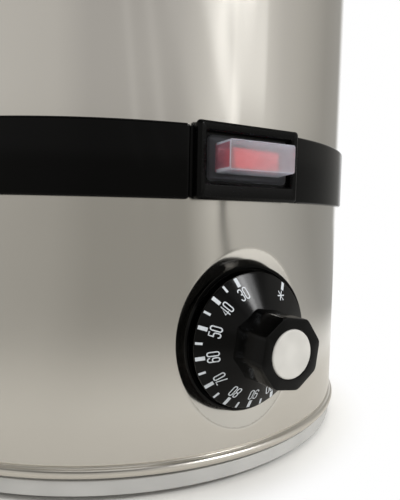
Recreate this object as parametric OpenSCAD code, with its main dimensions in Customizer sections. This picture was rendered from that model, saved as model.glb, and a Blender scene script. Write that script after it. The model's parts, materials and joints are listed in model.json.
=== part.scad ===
// Heated drinks urn: a steel tank with a lid, two handles and a lever tap, on a base shell that holds the
// heater, the thermostat and the switch. Millimetres, +Z up. The origin lies on the table under the tank's
// axis, the tap faces -Y, and the switch and the dial sit on the wall to the right of the tap.

/* [Tank] */
// Outside radius of the tank and of the base shell
tank_r = 150; // [145:1:160]
// Thickness of the steel sheet
sheet_t = 1; // [0.8:0.1:1.2]
// Height of the tank from its lower edge to its rim
tank_h = 237; // [220:1:300]
// Height of the tank floor above the tank's lower edge
floor_up = 18; // [16:1:22]
// Height of the floor pan's downturned weld flange
pan_flange_h = 8; // [5:0.5:8]
// Radius of the rolled rim
rim_r = 2; // [1.6:0.1:2.5]

/* [Lid] */
// Rise of the lid's dome
lid_rise = 20; // [12:1:30]
// Width of the flat border between the dome and the tank wall
lid_border = 10; // [6:1:16]
// Depth of the skirt that centres the lid in the tank
lid_skirt_h = 12; // [8:1:18]
// Depth of the outer lip that covers the rolled rim
lid_lip_h = 5; // [3:0.5:8]
// Gap between the lid's skirt and the tank wall
lid_clear = 1.5; // [1:0.1:3]
// Height of the lid knob
lid_knob_h = 34; // [28:1:44]
// Radius of the lid knob's head
lid_knob_r = 20; // [17:1:26]
// Radius of the steam vent in the lid
vent_r = 2.5; // [1.5:0.1:4]

/* [Handles] */
// Distance between the middles of a handle's two posts
handle_w = 97; // [85:1:115]
// Distance from the tank wall to the middle of the grip
handle_reach = 40; // [35:1:50]
// Thickness of the grip, outwards
grip_t = 13; // [11:0.5:16]
// Height of the grip
grip_h = 22; // [18:0.5:28]
// Bend radius of the grip's middle line
grip_bend = 20; // [14:1:24]
// Height of the handles above the tank's lower edge
handle_up = 160; // [130:1:175]

/* [Tap] */
// Height of the tap's shank above the tank's lower edge
tap_up = 56; // [50:1:70]
// Distance from the tank wall to the axis of the valve
tap_reach = 42; // [36:1:55]
// Radius of the shank through the tank wall
shank_r = 8; // [7:0.5:9]
// Radius of the waterway
waterway_r = 5.5; // [4:0.5:6]
// Radius of the valve chamber
chamber_r = 9.5; // [8.5:0.5:10]
// Wall of the valve barrel
barrel_wall = 3.5; // [2.5:0.5:5]
// Length of the spout below the valve seat
spout_len = 36; // [28:1:42]
// Radius of the valve stem
stem_r = 3; // [2.5:0.1:3.5]
// Radius of the lever's cam foot
cam_r = 9; // [8:0.5:11]
// Distance of the cam's middle from the lever pin
cam_offset = 6.2; // [4:0.1:6.5]
// Length of the lever above its pin
lever_len = 62; // [50:1:75]
// Radius of the lever pin
lever_pin_r = 1.5; // [1.2:0.1:2]

/* [Base] */
// Height of the base shell
base_h = 136.6; // [125:0.1:150]
// Height of the rolled bead at the lower edge
bead_h = 4.2; // [3:0.1:5]
// Height of the skirt ring below the bead
skirt_h = 8.4; // [7.5:0.1:12]
// How far the skirt ring stands out past the base shell
skirt_proud = 0.8; // [0.2:0.1:1.5]
// Thickness of the skirt ring's wall
skirt_t = 3; // [2:0.5:4]
// Thickness of the bottom plate
plate_t = 1.2; // [1:0.1:2]
// How far the feet stand out below the skirt ring
foot_proud = 3; // [3:0.1:6]
// Radius of a foot
foot_r = 9; // [7:0.5:11]
// Distance of a foot's middle from the outside of the base shell
foot_inset = 28; // [25:1:45]

/* [Waist band] */
// Height of the band
band_h = 32.4; // [30:0.1:36]
// How far the band covers the base shell
band_drop = 15.1; // [12:0.1:18]
// Thickness of the band
band_t = 2.5; // [1.5:0.1:3]
// Rounding of the band's edges
band_round = 1.2; // [0.4:0.1:1.4]
// Thickness of the joint ring's web between tank and base shell
web_t = 2; // [1.5:0.1:3]

/* [Switch] */
// Direction of the switch and the dial, turned from the tap
control_az = 60; // [50:1:75]
// Width of the switch housing
housing_w = 57; // [55:0.5:62]
// Height of the switch housing
housing_h = 34; // [33:0.5:38]
// How far the housing's face stands out past the tank wall
housing_proud = 3.5; // [3:0.1:6]
// Chamfer of the housing's outer edges
housing_chamfer = 1.2; // [0.4:0.1:1.5]
// Width of the housing's opening
opening_w = 48.5; // [46:0.5:50]
// Height of the housing's opening
opening_h = 22.2; // [21:0.1:23]
// Height of the opening's middle above the band's lower edge
opening_up = 18.4; // [17.5:0.1:19]
// Depth of the opening down to the cover's flange
recess_depth = 3.2; // [2:0.1:4]
// Length of the splash cover's box
cover_w = 37.6; // [37:0.1:40]
// Height of the splash cover's box
cover_h = 12.2; // [11.4:0.1:13]
// How far the cover stands out from its flange's seat
cover_d = 11.7; // [11.2:0.1:14]
// Wall of the splash cover
cover_wall = 0.8; // [0.5:0.1:0.9]
// Length of the rocker
rocker_w = 31; // [28:0.5:31]
// Width of the rocker
rocker_h = 9; // [8:0.1:9.2]
// Tilt of the rocker to either side
rocker_tilt = 12; // [8:1:14]

/* [Dial] */
// Drop of the dial's middle below the band
dial_drop = 63.35; // [58:0.05:68]
// Depth of the pressed dish at its top
dish_depth = 4.2; // [3.6:0.1:6]
// Radius of the dish's flat seat
dish_r = 38; // [37.2:0.1:42]
// Outward slope of the dish's wall, radius gained for each step out
dish_slope = 1.13; // [0.8:0.01:1.4]
// Outside radius of the dial ring
ring_r = 35.4; // [34.5:0.1:37]
// Wall of the dial ring
ring_wall = 3.9; // [2.5:0.1:4]
// Height of the dial ring above its seat
ring_h = 6.5; // [5:0.1:8]
// Radius of the dial's rim
dial_r = 31.3; // [29:0.1:31.6]
// Height of the dial's rim above the seat
dial_lift = 11.4; // [10.5:0.1:14]
// Rise of the dial's cone from rim to grip
cone_rise = 8.4; // [6:0.1:10]
// Radius over the corners of the octagonal grip
octagon_r = 16.5; // [15:0.1:18]
// Length of the octagonal grip
octagon_h = 18.3; // [15:0.1:22]
// Turn of the octagon's first corner from level
octagon_turn = 13.5; // [0:0.5:44]
// Radius of the white cap
cap_r = 10.5; // [9:0.05:12]
// Radius of the thermostat's shaft
shaft_r = 3; // [2.5:0.1:3.5]

/* [Heater] */
// Radius of the heater plate
heater_r = 100; // [90:1:108]
// Thickness of the heater plate
heater_t = 6; // [4:0.5:8]
// Radius of the heating element's ring
element_ring_r = 75; // [70:1:80]
// Radius of the heating element's tube
element_r = 4; // [3:0.1:5]
// Radius of a sensing bulb
bulb_r = 3; // [2:0.1:4]
// Length of a sensing bulb
bulb_len = 70; // [50:1:80]
// Radius of a tie rod
tie_r = 3; // [2.5:0.1:4]

/* [Fits and fasteners] */
// Gap of a shaft that turns or slides in its hole
running_gap = 0.05; // [0.02:0.01:0.1]
// Gap between pieces that are set against each other
seat_gap = 0.1; // [0.05:0.01:0.2]
// Gap round a screw or a piece that is put through a hole
hole_gap = 0.25; // [0.2:0.01:0.4]
// Gap between moving pieces that must not touch
clear_gap = 0.3; // [0.3:0.05:0.5]
// Radius of the small screws
screw_r = 2; // [1.5:0.1:2.5]
// Radius of the handle and lid screws
big_screw_r = 2.5; // [2:0.1:3]
// Radius of the hole for the mains lead
cord_r = 4.2; // [3:0.1:5]
// Radius of a wire with its insulation
wire_r = 1.4; // [1:0.1:1.8]
// Radius of a capillary tube
capillary_r = 1; // [0.8:0.1:1.2]

/* [Hidden] */
$fn = 64;

steel = "#B3AEA4";
bright_steel = "#C4C2BC";
black_plastic = "#1A1A1B";
aluminium = "#A9ABAC";
silicone = "#D8D8D2";
brass = "#B79A55";

// Heights of the stack, from the table up
skirt_z = foot_proud;
base_z = skirt_z + skirt_h;
base_top = base_z + base_h;
tank_z = base_top + web_t;
tank_top = tank_z + tank_h;
floor_z = tank_z + floor_up;
band_z = base_top - band_drop;
ledge_t = 3;
plate_top = base_z - ledge_t;
plate_z = plate_top - plate_t;
heater_z = floor_z - heater_t;
lid_z = tank_top + clear_gap;
lid_top = lid_z + sheet_t + lid_rise;

// Radii of the walls
inner_r = tank_r - sheet_t;
rim_set = 0.2;
rim_mid_r = inner_r + rim_set + rim_r;
band_in_r = tank_r + seat_gap;
skirt_r = tank_r + skirt_proud;
skirt_in_r = skirt_r - skirt_t;
flange_w = 13;
flange_in_r = inner_r - flange_w;
ledge_in_r = flange_in_r + 1;
far = 2 * tank_r;

// Lid
lid_lip_clear = 0.8;
lid_out_r = rim_mid_r + rim_r + lid_lip_clear + sheet_t;
lid_skirt_r = inner_r - lid_clear;
dome_r = inner_r - lid_border;
dome_sphere_r = (dome_r * dome_r + lid_rise * lid_rise) / (2 * lid_rise);
dome_angle = asin(dome_r / dome_sphere_r);
dome_mid_z = lid_top - dome_sphere_r;
dome_steps = 16;
vent_place_r = 0.7 * dome_r;
lid_washer_r = 9;
lid_washer_t = 1;
lid_bore_depth = 16;
lid_screw_len = lid_bore_depth - 2;
screw_head_r = 1.9 * big_screw_r;
screw_head_h = 1.2 * big_screw_r;
small_head_r = 1.8 * screw_r;
small_head_h = screw_r;
screw_bite = 4;

// Handles
handle_az = [-90, 90];
handle_z = tank_z + handle_up;
post_x = handle_w / 2;
grip_d = tank_r + handle_reach;
handle_washer_r = 8;
washer_face_d = sqrt(inner_r * inner_r - pow(post_x + handle_washer_r, 2)) - 1.5;
handle_screw_tip_d = grip_d - grip_bend - 4;

// Tap
tap_az = 0;
tap_z = tank_z + tap_up;
tap_d = tank_r + tap_reach;
gasket_t = 2;
gasket_r = 14;
collar_t = 4;
shank_end_d = inner_r - 24;
shank_hole_r = shank_r + hole_gap;
tap_nut_t = 7;
tap_nut_r = 15;
nut_face_d = sqrt(inner_r * inner_r - gasket_r * gasket_r) - gasket_t;
neck_wall = 3;
spout_wall = 3;
neck_r = waterway_r + neck_wall;
barrel_r = chamber_r + barrel_wall;
seat_down = 10;
barrel_down = 18;
barrel_up = 16;
spout_r = waterway_r + spout_wall;
spout_taper = 8;
spout_end = -seat_down - spout_len;
bonnet_wall = 2.4;
bonnet_r = barrel_r + bonnet_wall;
bonnet_low = 9.3;
roof_low = 22;
roof_t = 4;
roof_top = roof_low + roof_t;
pin_up = roof_top + cam_r + clear_gap;
stem_top_over = 4.2;
collar_r = 6;
collar_h = 2;
collar_low = -1;
cup_clear = 0.9;
cup_r = chamber_r - cup_clear;
cup_low = -seat_down + clear_gap;
stem_low = -5;
spring_wire_r = 0.7;
spring_turns = 7;
spring_sides = 6;
spring_steps = 8;
spring_low = collar_low + collar_h + spring_wire_r + seat_gap;
spring_high = roof_low - spring_wire_r - seat_gap;
spring_mid_r = (stem_r + chamber_r) / 2;
fork_clear = 0.5;
fork_gap = stem_r + fork_clear;
cheek_t = 3.5;
lever_half_w = fork_gap + cheek_t;
lever_t = 9;
lever_slot_top = norm([stem_r, stem_top_over]) + 1;
pin_boss_r = 5;

// Waist and switch housing, with distances counted from the tank's axis
ring_lip_t = 2.5;
ring_lip_h = 8;
housing_mid_z = band_z + housing_h / 2;
opening_z = band_z + opening_up;
housing_front = tank_r + housing_proud;
recess_floor = housing_front - recess_depth;
bezel_t = 1.5;
bezel_back = recess_floor - bezel_t;
bezel_w = 41;
bezel_h = 16;
tub_wall = 1.3;
tub_floor = 2;
tub_back = bezel_back - tub_floor;
tub_w = opening_w + 2 * tub_wall;
tub_h = opening_h + 2 * tub_wall;
switch_w = 36;
switch_h = 12.6;
switch_deep = 23;
switch_back = bezel_back - switch_deep;
blade_len = 8;
blade_w = 6.3;
blade_t = 0.8;
blade_x = 8;
pivot_sink = 1.3;
pivot_d = recess_floor - pivot_sink;
rocker_face = 6.6;
rocker_dip = 1.6;
rocker_keel = 4;
trunnion_r = 1.3;
trunnion_y = 6;
cavity_w = 33.2;
cavity_h = 10;
cavity_deep = rocker_keel + 1.6;
flange_side = 3.5;
flange_up = 3.9;
cover_flange_t = 1.2;
cover_corner_r = 1.5;
flange_corner_r = 2;
cover_inner_r = 0.8;
band_end_gap = 1.5;
band_end_az = asin(housing_w / 2 / (tank_r + band_t)) + band_end_gap / tank_r * 180 / PI;

// Dial and thermostat, with distances counted from the tank's axis
dial_z = band_z - dial_drop;
seat_d = tank_r - dish_depth;
dish_h = 25;
ring_floor_t = 1.5;
ring_in_r = ring_r - ring_wall;
ring_top = seat_d + ring_h;
rim_d = seat_d + dial_lift;
rim_edge = 2.4;
rim_back = rim_d - rim_edge;
skirt_shell = 2;
cone_top = rim_d + cone_rise;
knob_front = cone_top + octagon_h;
hub_r = 8;
bush_r = 5;
bush_end = seat_d + ring_floor_t + 2;
hub_back = bush_end + 1;
knob_bore_end = knob_front - 7;
shaft_end = knob_bore_end - 1;
shaft_flat = 0.8;
cap_pocket = 3;
cap_proud = 0.4;
stat_plate_t = 2;
stat_front = seat_d - sheet_t;
stat_deep = 32;
stat_back = stat_front - stat_deep;
stat_w = 34;
stat_h = 42;
stat_plate_w = 40;
stat_plate_h = 44;
stat_screw_y = 15;
stat_screw_bite = 8;
shaft_inner = stat_back + 12;
stat_blade_y = 10;

// Pieces on the bottom plate, at places chosen by hand
foot_angles = [45, 135, 225, 315];
foot_circle_r = tank_r - foot_inset;
counterbore_z = 0.5 * plate_z;
bottom_screw_count = 6;
bottom_screw_circle_r = (ledge_in_r + skirt_in_r) / 2;
tie_circle_r = 60;
tie_angles = [30, 150, 270];
tie_nut_h = 4.2;
tie_end = 0.2;
tie_nut_r = 5.8;
cutout_xy = [-85, -10];
cutout_r = 12;
cutout_h = 28;
button_r = 3.5;
button_up = 8;
button_down = 2.8;
block_xy = [0, 85];
block_size = [44, 22, 20];
earth_xy = [42, 92];
earth_r = 2.5;
earth_h = 14;
earth_nut_r = 2 * earth_r;
earth_nut_h = 1.6 * earth_r;
gland_up = 34;
gland_z = base_z + gland_up;
gland_r = 7.8;
gland_collar_r = 12;
gland_nose_r = 9;
gland_nose_len = 16;
gland_collar_t = 3;
gland_thread_len = 14;
gland_nut_t = 5;
bulb_ys = [-30, 15];
element_gap = 50;
element_bend = 10;
element_leg = 22;
element_sleeve_r = element_r + 0.8;
element_pin_r = 1.5;
element_pin = 8;
element_z = heater_z - element_r - seat_gap;
bulb_z = heater_z - bulb_r - seat_gap;

// Routes of the capillary tubes and the wires
wire_end = 0.7;
wire_bow = 14;
bend_drop = 24;
bulb_x = bulb_len / 2;
leg_end_z = element_z - element_leg - element_pin;
leg_x = element_ring_r * sin(element_gap / 2) - element_bend * cos(element_gap / 2);
leg_y = element_ring_r * cos(element_gap / 2) + element_bend * sin(element_gap / 2);
block_top = plate_top + block_size[2] + wire_end;
cutout_top = plate_top + cutout_h + wire_end;
function on_control(side, up, d) = [
    d * sin(control_az) + side * cos(control_az), -d * cos(control_az) + side * sin(control_az), up
];
capillary_routes = [
    [[bulb_x + wire_end, bulb_ys[0], bulb_z], [46, -33, bulb_z - bulb_r], [60, -38, bulb_z - bend_drop],
        [86, -50, (bulb_z + dial_z) / 2],
        on_control(0, dial_z + stat_h / 2 + 8, stat_front - 16),
        on_control(0, dial_z + stat_h / 2 + wire_end, stat_front - 16)],
    [[-bulb_x - wire_end, bulb_ys[1], bulb_z], [-46, 14, bulb_z - bulb_r], [-62, 8, bulb_z - bend_drop],
        [-80, -4, (bulb_z + cutout_top) / 2],
        [cutout_xy[0], cutout_xy[1], cutout_top + 8], [cutout_xy[0], cutout_xy[1], cutout_top]]
];
live_routes = [
    [[-12, 85, block_top], [-8, 82, block_top + wire_bow], [20, 72, block_top + 3 * wire_bow],
        [70, 35, opening_z - 3 * wire_bow], [98, -22, opening_z - wire_bow],
        on_control(blade_x, opening_z, switch_back - blade_len - 8),
        on_control(blade_x, opening_z, switch_back - blade_len - wire_end)],
    [on_control(-blade_x, opening_z, switch_back - blade_len - wire_end),
        on_control(-blade_x, opening_z, switch_back - blade_len - 8), [78, -56, opening_z - wire_bow],
        [68, -46, (opening_z + dial_z) / 2],
        on_control(0, dial_z + stat_blade_y, stat_back - blade_len - 9),
        on_control(0, dial_z + stat_blade_y, stat_back - blade_len - wire_end)],
    [on_control(0, dial_z - stat_blade_y, stat_back - blade_len - wire_end),
        on_control(0, dial_z - stat_blade_y, stat_back - blade_len - 9),
        [48, -34, cutout_top + 8], [-10, -34, cutout_top], [-60, -24, cutout_top + 8],
        [-78, -12, cutout_top + 8], [-79, -10, cutout_top]],
    [[-91, -10, cutout_top], [-93, -8, cutout_top + 8], [-92, 16, cutout_top + 2 * wire_bow],
        [-68, 50, (cutout_top + leg_end_z) / 2],
        [-leg_x, leg_y, leg_end_z - 9], [-leg_x, leg_y, leg_end_z - wire_end]]
];
neutral_routes = [
    [[0, 85, block_top], [3, 84, block_top + wire_bow], [22, 76, (block_top + leg_end_z) / 2],
        [leg_x, leg_y, leg_end_z - 9],
        [leg_x, leg_y, leg_end_z - wire_end]]
];
earth_routes = [
    [[12, 85, block_top], [14, 86, block_top + 10], [28, 91, block_top + wire_bow], [41, 92, block_top + 6],
        [earth_xy[0], earth_xy[1], plate_top + earth_h + wire_end]]
];

// Points of a smooth curve through the route's own points
spline_steps = 2;
function catmull(a, b, c, d, t) = 0.5 * (2 * b + (c - a) * t + (2 * a - 5 * b + 4 * c - d) * t * t
    + (3 * b - a - 3 * c + d) * t * t * t);
function spline(p) = [
    for (i = [0 : len(p) - 2])
        for (k = [0 : spline_steps - 1])
            catmull(p[max(i - 1, 0)], p[i], p[i + 1], p[min(i + 2, len(p) - 1)], k / spline_steps),
    p[len(p) - 1]
];

// Rings of points round a path, each turned as little as the path lets it
function unit(v) = v / norm(v);
function tangents(p) = [
    for (i = [0 : len(p) - 1]) unit(p[min(i + 1, len(p) - 1)] - p[max(i - 1, 0)])
];
function carried(t, u, i = 0) = i == len(t) ? [] :
    let (v = unit(u - (u * t[i]) * t[i])) concat([v], carried(t, v, i + 1));
function first_side(t) = cross(t, abs(t[2]) < 0.9 ? [0, 0, 1] : [1, 0, 0]);

module swept(path, r, sides) {
    t = tangents(path);
    u = carried(t, first_side(t[0]));
    last = len(path) - 1;
    points = [
        for (i = [0 : last])
            for (k = [0 : sides - 1])
                let (a = 360 * k / sides) path[i] + r * (cos(a) * u[i] + sin(a) * cross(t[i], u[i]))
    ];
    walls = [
        for (i = [0 : last - 1])
            for (k = [0 : sides - 1])
                let (n = (k + 1) % sides, p = i * sides)
                    each [[p + k, p + sides + k, p + n], [p + n, p + sides + k, p + sides + n]]
    ];
    ends = [
        for (k = [1 : sides - 2])
            each [[0, k, k + 1], [last * sides, last * sides + k + 1, last * sides + k]]
    ];
    polyhedron(points, concat(walls, ends));
}

module routes(list, r) {
    for (p = list) swept(spline(p), r, 8);
}

// Small shapes that repeat
module rod(r, z0, z1) {
    translate([0, 0, z0]) cylinder(r = r, h = z1 - z0);
}

// A round as wide as the tank, drawn finely because thin pieces are trimmed to it
module wide_rod(r, z0, z1) {
    rod(r, z0, z1, $fn = 360);
}

module hex(r, z0, z1) {
    translate([0, 0, z0]) cylinder(r = r, h = z1 - z0, $fn = 6);
}

module tube(r_out, r_in, z0, z1) {
    difference() {
        rod(r_out, z0, z1);
        rod(r_in, z0 - 1, z1 + 1);
    }
}

module block(w, h, z0, z1) {
    translate([-w / 2, -h / 2, z0]) cube([w, h, z1 - z0]);
}

module round_block(w, h, r, z0, z1) {
    block(w - 2 * r, h, z0, z1);
    block(w, h - 2 * r, z0, z1);
    for (x = [-1, 1], y = [-1, 1]) {
        translate([x * (w / 2 - r), y * (h / 2 - r), 0]) rod(r, z0, z1);
    }
}

module screw(r, head_r, head_h, length) {
    rod(head_r, -head_h, 0);
    rod(r, 0, length);
}

// Puts children on the wall: their X runs to the right, Y up and Z out from the tank's axis
module on_wall(az, height) {
    rotate([0, 0, az]) translate([0, 0, height]) rotate([90, 0, 0]) children();
}

module at_valve() {
    rotate([0, 0, tap_az]) translate([0, -tap_d, tap_z]) children();
}

module at_angles(angles, circle_r) {
    for (a = angles) rotate([0, 0, a]) translate([circle_r, 0, 0]) children();
}

module at_bottom_screws() {
    at_angles([for (i = [0 : bottom_screw_count - 1]) i * 360 / bottom_screw_count], bottom_screw_circle_r)
        children();
}

module at_handle_posts() {
    for (az = handle_az, side = [-1, 1]) on_wall(az, handle_z) translate([side * post_x, 0, 0]) children();
}

module housing_notch() {
    on_wall(control_az, opening_z)
        block(tub_w + 2 * clear_gap, tub_h + 2 * clear_gap, tank_r / 2, far);
}

// Tank
module tank_shell() {
    color(steel) difference() {
        union() {
            tube(tank_r, inner_r, tank_z, tank_top - rim_r);
            rotate_extrude() translate([rim_mid_r, tank_top - rim_r]) circle(rim_r);
        }
        housing_notch();
        on_wall(tap_az, tap_z) rod(shank_hole_r, 0, far);
        at_handle_posts() rod(big_screw_r + hole_gap, tank_r / 2, far);
    }
}

module tank_floor() {
    r = inner_r - seat_gap;
    flange_z = floor_z + sheet_t - pan_flange_h;
    color(steel) difference() {
        rotate_extrude() polygon([
            [0, floor_z], [r - sheet_t, floor_z], [r - sheet_t, flange_z], [r, flange_z],
            [r, floor_z + sheet_t], [0, floor_z + sheet_t]
        ]);
        housing_notch();
    }
}

// Lid
function dome_point(r, k) =
    let (a = dome_angle * k / dome_steps) [r * sin(a), dome_mid_z + r * cos(a)];

module lid() {
    over = [for (k = [0 : dome_steps]) dome_point(dome_sphere_r, k)];
    under = [for (k = [dome_steps : -1 : 0]) dome_point(dome_sphere_r - sheet_t, k)];
    rim = [
        [lid_out_r, lid_z + sheet_t], [lid_out_r, lid_z - lid_lip_h],
        [lid_out_r - sheet_t, lid_z - lid_lip_h], [lid_out_r - sheet_t, lid_z],
        [lid_skirt_r, lid_z], [lid_skirt_r, lid_z - lid_skirt_h],
        [lid_skirt_r - sheet_t, lid_z - lid_skirt_h], [lid_skirt_r - sheet_t, lid_z]
    ];
    color(steel) difference() {
        rotate_extrude() polygon(concat(over, rim, under));
        rod(big_screw_r + hole_gap, lid_z, lid_top + 1);
        translate([0, vent_place_r, 0]) rod(vent_r, lid_z, lid_top + 1);
    }
}

module lid_knob() {
    foot_r_knob = 0.7 * lid_knob_r;
    neck_r_knob = 0.45 * lid_knob_r;
    edge_r = 5;
    head_z = lid_top + lid_knob_h - 1.5 * edge_r;
    edge = [
        for (a = [-70 : 20 : 90]) [lid_knob_r - edge_r + edge_r * cos(a), head_z + edge_r * sin(a)]
    ];
    color(black_plastic) difference() {
        rotate_extrude() polygon(concat(
            [[0, lid_top], [foot_r_knob, lid_top], [foot_r_knob, lid_top + 3],
                [neck_r_knob + 1, lid_top + 7], [neck_r_knob, lid_top + 12]],
            edge,
            [[0, lid_top + lid_knob_h]]
        ));
        rod(big_screw_r + seat_gap, lid_top - 1, lid_top + lid_bore_depth);
    }
}

module lid_washer() {
    top = lid_top - sheet_t - seat_gap;
    color(silicone) tube(lid_washer_r, big_screw_r + hole_gap, top - lid_washer_t, top);
}

module lid_screw() {
    color(bright_steel) translate([0, 0, lid_top - sheet_t - seat_gap - lid_washer_t])
        screw(big_screw_r, screw_head_r, screw_head_h, lid_screw_len);
}

// Handles
module grip_section() {
    square([grip_t, grip_h - grip_t], center = true);
    for (y = [-1, 1]) translate([0, y * (grip_h - grip_t) / 2]) circle(grip_t / 2);
}

module handle(az) {
    post_len = grip_d - grip_bend;
    color(black_plastic) difference() {
        rotate([0, 0, az]) translate([0, 0, handle_z]) {
            for (side = [0, 1]) mirror([side, 0, 0]) {
                translate([post_x, -post_len, 0]) rotate([-90, 0, 0])
                    linear_extrude(post_len / 2) grip_section();
                translate([post_x - grip_bend, -post_len, 0]) rotate([0, 0, -90])
                    rotate_extrude(angle = 90) translate([grip_bend, 0]) grip_section();
            }
            translate([grip_bend - post_x, -grip_d, 0]) rotate([0, 90, 0])
                linear_extrude(2 * (post_x - grip_bend)) rotate(90) grip_section();
        }
        wide_rod(tank_r + seat_gap, 0, lid_top);
        at_handle_posts() rod(big_screw_r + seat_gap, tank_r / 2, handle_screw_tip_d + 1);
    }
}

module handle_left() {
    handle(handle_az[0]);
}

module handle_right() {
    handle(handle_az[1]);
}

module handle_screws() {
    color(bright_steel) at_handle_posts() translate([0, 0, washer_face_d])
        screw(big_screw_r, screw_head_r, screw_head_h, handle_screw_tip_d - washer_face_d);
}

module handle_washers() {
    color(silicone) difference() {
        intersection() {
            at_handle_posts() rod(handle_washer_r, washer_face_d, tank_r);
            wide_rod(inner_r - seat_gap, 0, lid_top);
        }
        at_handle_posts() rod(big_screw_r + seat_gap, 0, far);
    }
}

// Waist
module joint_ring() {
    lip_r = inner_r - 2 * seat_gap;
    in_r = lip_r - ring_lip_t;
    color(black_plastic) difference() {
        rotate_extrude() polygon([
            [in_r, base_top - ring_lip_h], [lip_r, base_top - ring_lip_h], [lip_r, base_top],
            [tank_r, base_top], [tank_r, tank_z], [lip_r, tank_z], [lip_r, tank_z + ring_lip_h],
            [in_r, tank_z + ring_lip_h]
        ]);
        housing_notch();
    }
}

module waist_band() {
    r = band_in_r + band_t - band_round;
    low = [for (a = [-90 : 30 : 0]) [r + band_round * cos(a), band_z + band_round + band_round * sin(a)]];
    high = [
        for (a = [0 : 30 : 90]) [r + band_round * cos(a), band_z + band_h - band_round + band_round * sin(a)]
    ];
    color(black_plastic) rotate([0, 0, control_az - 90 + band_end_az])
        rotate_extrude(angle = 360 - 2 * band_end_az)
            polygon(concat([[band_in_r, band_z]], low, high, [[band_in_r, band_z + band_h]]));
}

// Base shell with its pressed dish, rolled bead and inturned flange
module dish_cut(r, d) {
    on_wall(control_az, dial_z) translate([0, 0, d])
        cylinder(r1 = r, r2 = r + dish_slope * dish_h, h = dish_h);
}

module base_shell() {
    color(steel) difference() {
        union() {
            difference() {
                rod(tank_r, base_z, base_top);
                dish_cut(dish_r, seat_d);
            }
            rotate_extrude() translate([tank_r, base_z + bead_h / 2]) circle(bead_h / 2);
        }
        difference() {
            rod(inner_r, base_z + sheet_t, base_top + 1);
            dish_cut(dish_r + sheet_t / 2, seat_d - sheet_t);
        }
        rod(flange_in_r, base_z - 1, base_z + 2 * sheet_t);
        housing_notch();
        on_wall(control_az, dial_z) {
            rod(bush_r + hole_gap, tank_r / 2, far);
            for (y = [-1, 1]) translate([0, y * stat_screw_y, 0]) rod(screw_r + hole_gap, tank_r / 2, far);
        }
        on_wall(180, gland_z) rod(gland_r + hole_gap, tank_r / 2, far);
        at_bottom_screws() rod(screw_r + hole_gap, 0, base_z + 2 * sheet_t);
    }
}

module base_skirt() {
    groove = 0.6;
    color("#A4A4A2") difference() {
        rotate_extrude() polygon([
            [skirt_in_r, skirt_z], [skirt_r, skirt_z], [skirt_r, base_z - 2 * groove],
            [skirt_r - 2 * groove, base_z - groove], [skirt_r - 3 * groove, base_z],
            [ledge_in_r, base_z], [ledge_in_r, plate_top], [skirt_in_r, plate_top]
        ]);
        at_bottom_screws() rod(screw_r + hole_gap, 0, base_z + 1);
    }
}

module bottom_plate() {
    slot_w = 4;
    slot_len = 22;
    slot_step = 9;
    slot_r = 95;
    color(steel) difference() {
        rod(skirt_in_r - hole_gap, plate_z, plate_top);
        at_bottom_screws() rod(screw_r + hole_gap, 0, base_z);
        at_angles(foot_angles, foot_circle_r) rod(screw_r + hole_gap, 0, base_z);
        at_angles(tie_angles, tie_circle_r) rod(tie_r + hole_gap, 0, base_z);
        translate(cutout_xy) rod(button_r + hole_gap, 0, base_z);
        for (side = [-1, 1])
            at_angles([for (a = [slot_step : slot_step : 7 * slot_step]) side * a - 90], slot_r)
                block(slot_len, slot_w, 0, base_z);
    }
}

module bottom_screws() {
    color(bright_steel) at_bottom_screws() translate([0, 0, plate_z])
        screw(screw_r, small_head_r, small_head_h, base_z + screw_bite - plate_z);
}

module feet() {
    rounding = 1.5;
    edge = [
        for (a = [-90 : 30 : 0]) [foot_r - rounding + rounding * cos(a), rounding + rounding * sin(a)]
    ];
    color("#2A2A2A") at_angles(foot_angles, foot_circle_r) difference() {
        rotate_extrude() polygon(concat([[0, 0]], edge, [[foot_r, plate_z], [0, plate_z]]));
        rod(screw_r + hole_gap, -1, plate_z + 1);
        rod(small_head_r + hole_gap, -1, counterbore_z);
    }
}

module foot_screws() {
    color(bright_steel) at_angles(foot_angles, foot_circle_r) translate([0, 0, counterbore_z])
        screw(screw_r, small_head_r, small_head_h, plate_top + screw_bite - counterbore_z);
}

module tie_rods() {
    color(bright_steel) at_angles(tie_angles, tie_circle_r)
        rod(tie_r, plate_z - tie_nut_h - tie_end, heater_z);
}

module tie_nuts() {
    color(bright_steel) at_angles(tie_angles, tie_circle_r) difference() {
        hex(tie_nut_r, plate_z - tie_nut_h, plate_z);
        rod(tie_r + running_gap, 0, plate_top);
    }
}

// Heater under the tank floor
module heater_plate() {
    color(aluminium) rod(heater_r, heater_z, floor_z);
}

module heating_element() {
    color("#77736C") {
        rotate([0, 0, 90 + element_gap / 2]) translate([0, 0, element_z])
            rotate_extrude(angle = 360 - element_gap) translate([element_ring_r, 0]) circle(element_r);
        for (side = [-1, 1]) {
            rotate([0, 0, 90 - side * element_gap / 2])
                translate([element_ring_r, 0, element_z - element_bend]) rotate([90, 0, side * 90])
                    rotate_extrude(angle = 90) translate([element_bend, 0]) circle(element_r);
            translate([side * leg_x, leg_y, 0]) {
                rod(element_sleeve_r, element_z - element_leg, element_z - element_bend + 1);
                rod(element_pin_r, leg_end_z, element_z - element_leg + 1);
            }
        }
    }
}

module at_bulbs() {
    for (y = bulb_ys) translate([0, y, bulb_z]) rotate([0, 90, 0]) children();
}

module sensing_bulbs() {
    color(brass) at_bulbs() rod(bulb_r, -bulb_x, bulb_x);
}

module bulb_clips() {
    clip_w = 12;
    clip_wall = 2;
    half_h = bulb_r + clip_wall;
    color(bright_steel) at_bulbs() difference() {
        translate([-bulb_r - seat_gap, -half_h, -clip_w / 2])
            cube([bulb_r + seat_gap + half_h, 2 * half_h, clip_w]);
        rod(bulb_r + running_gap, -clip_w, clip_w);
    }
}

module capillary_tubes() {
    color("#B0703C") routes(capillary_routes, capillary_r);
}

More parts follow.
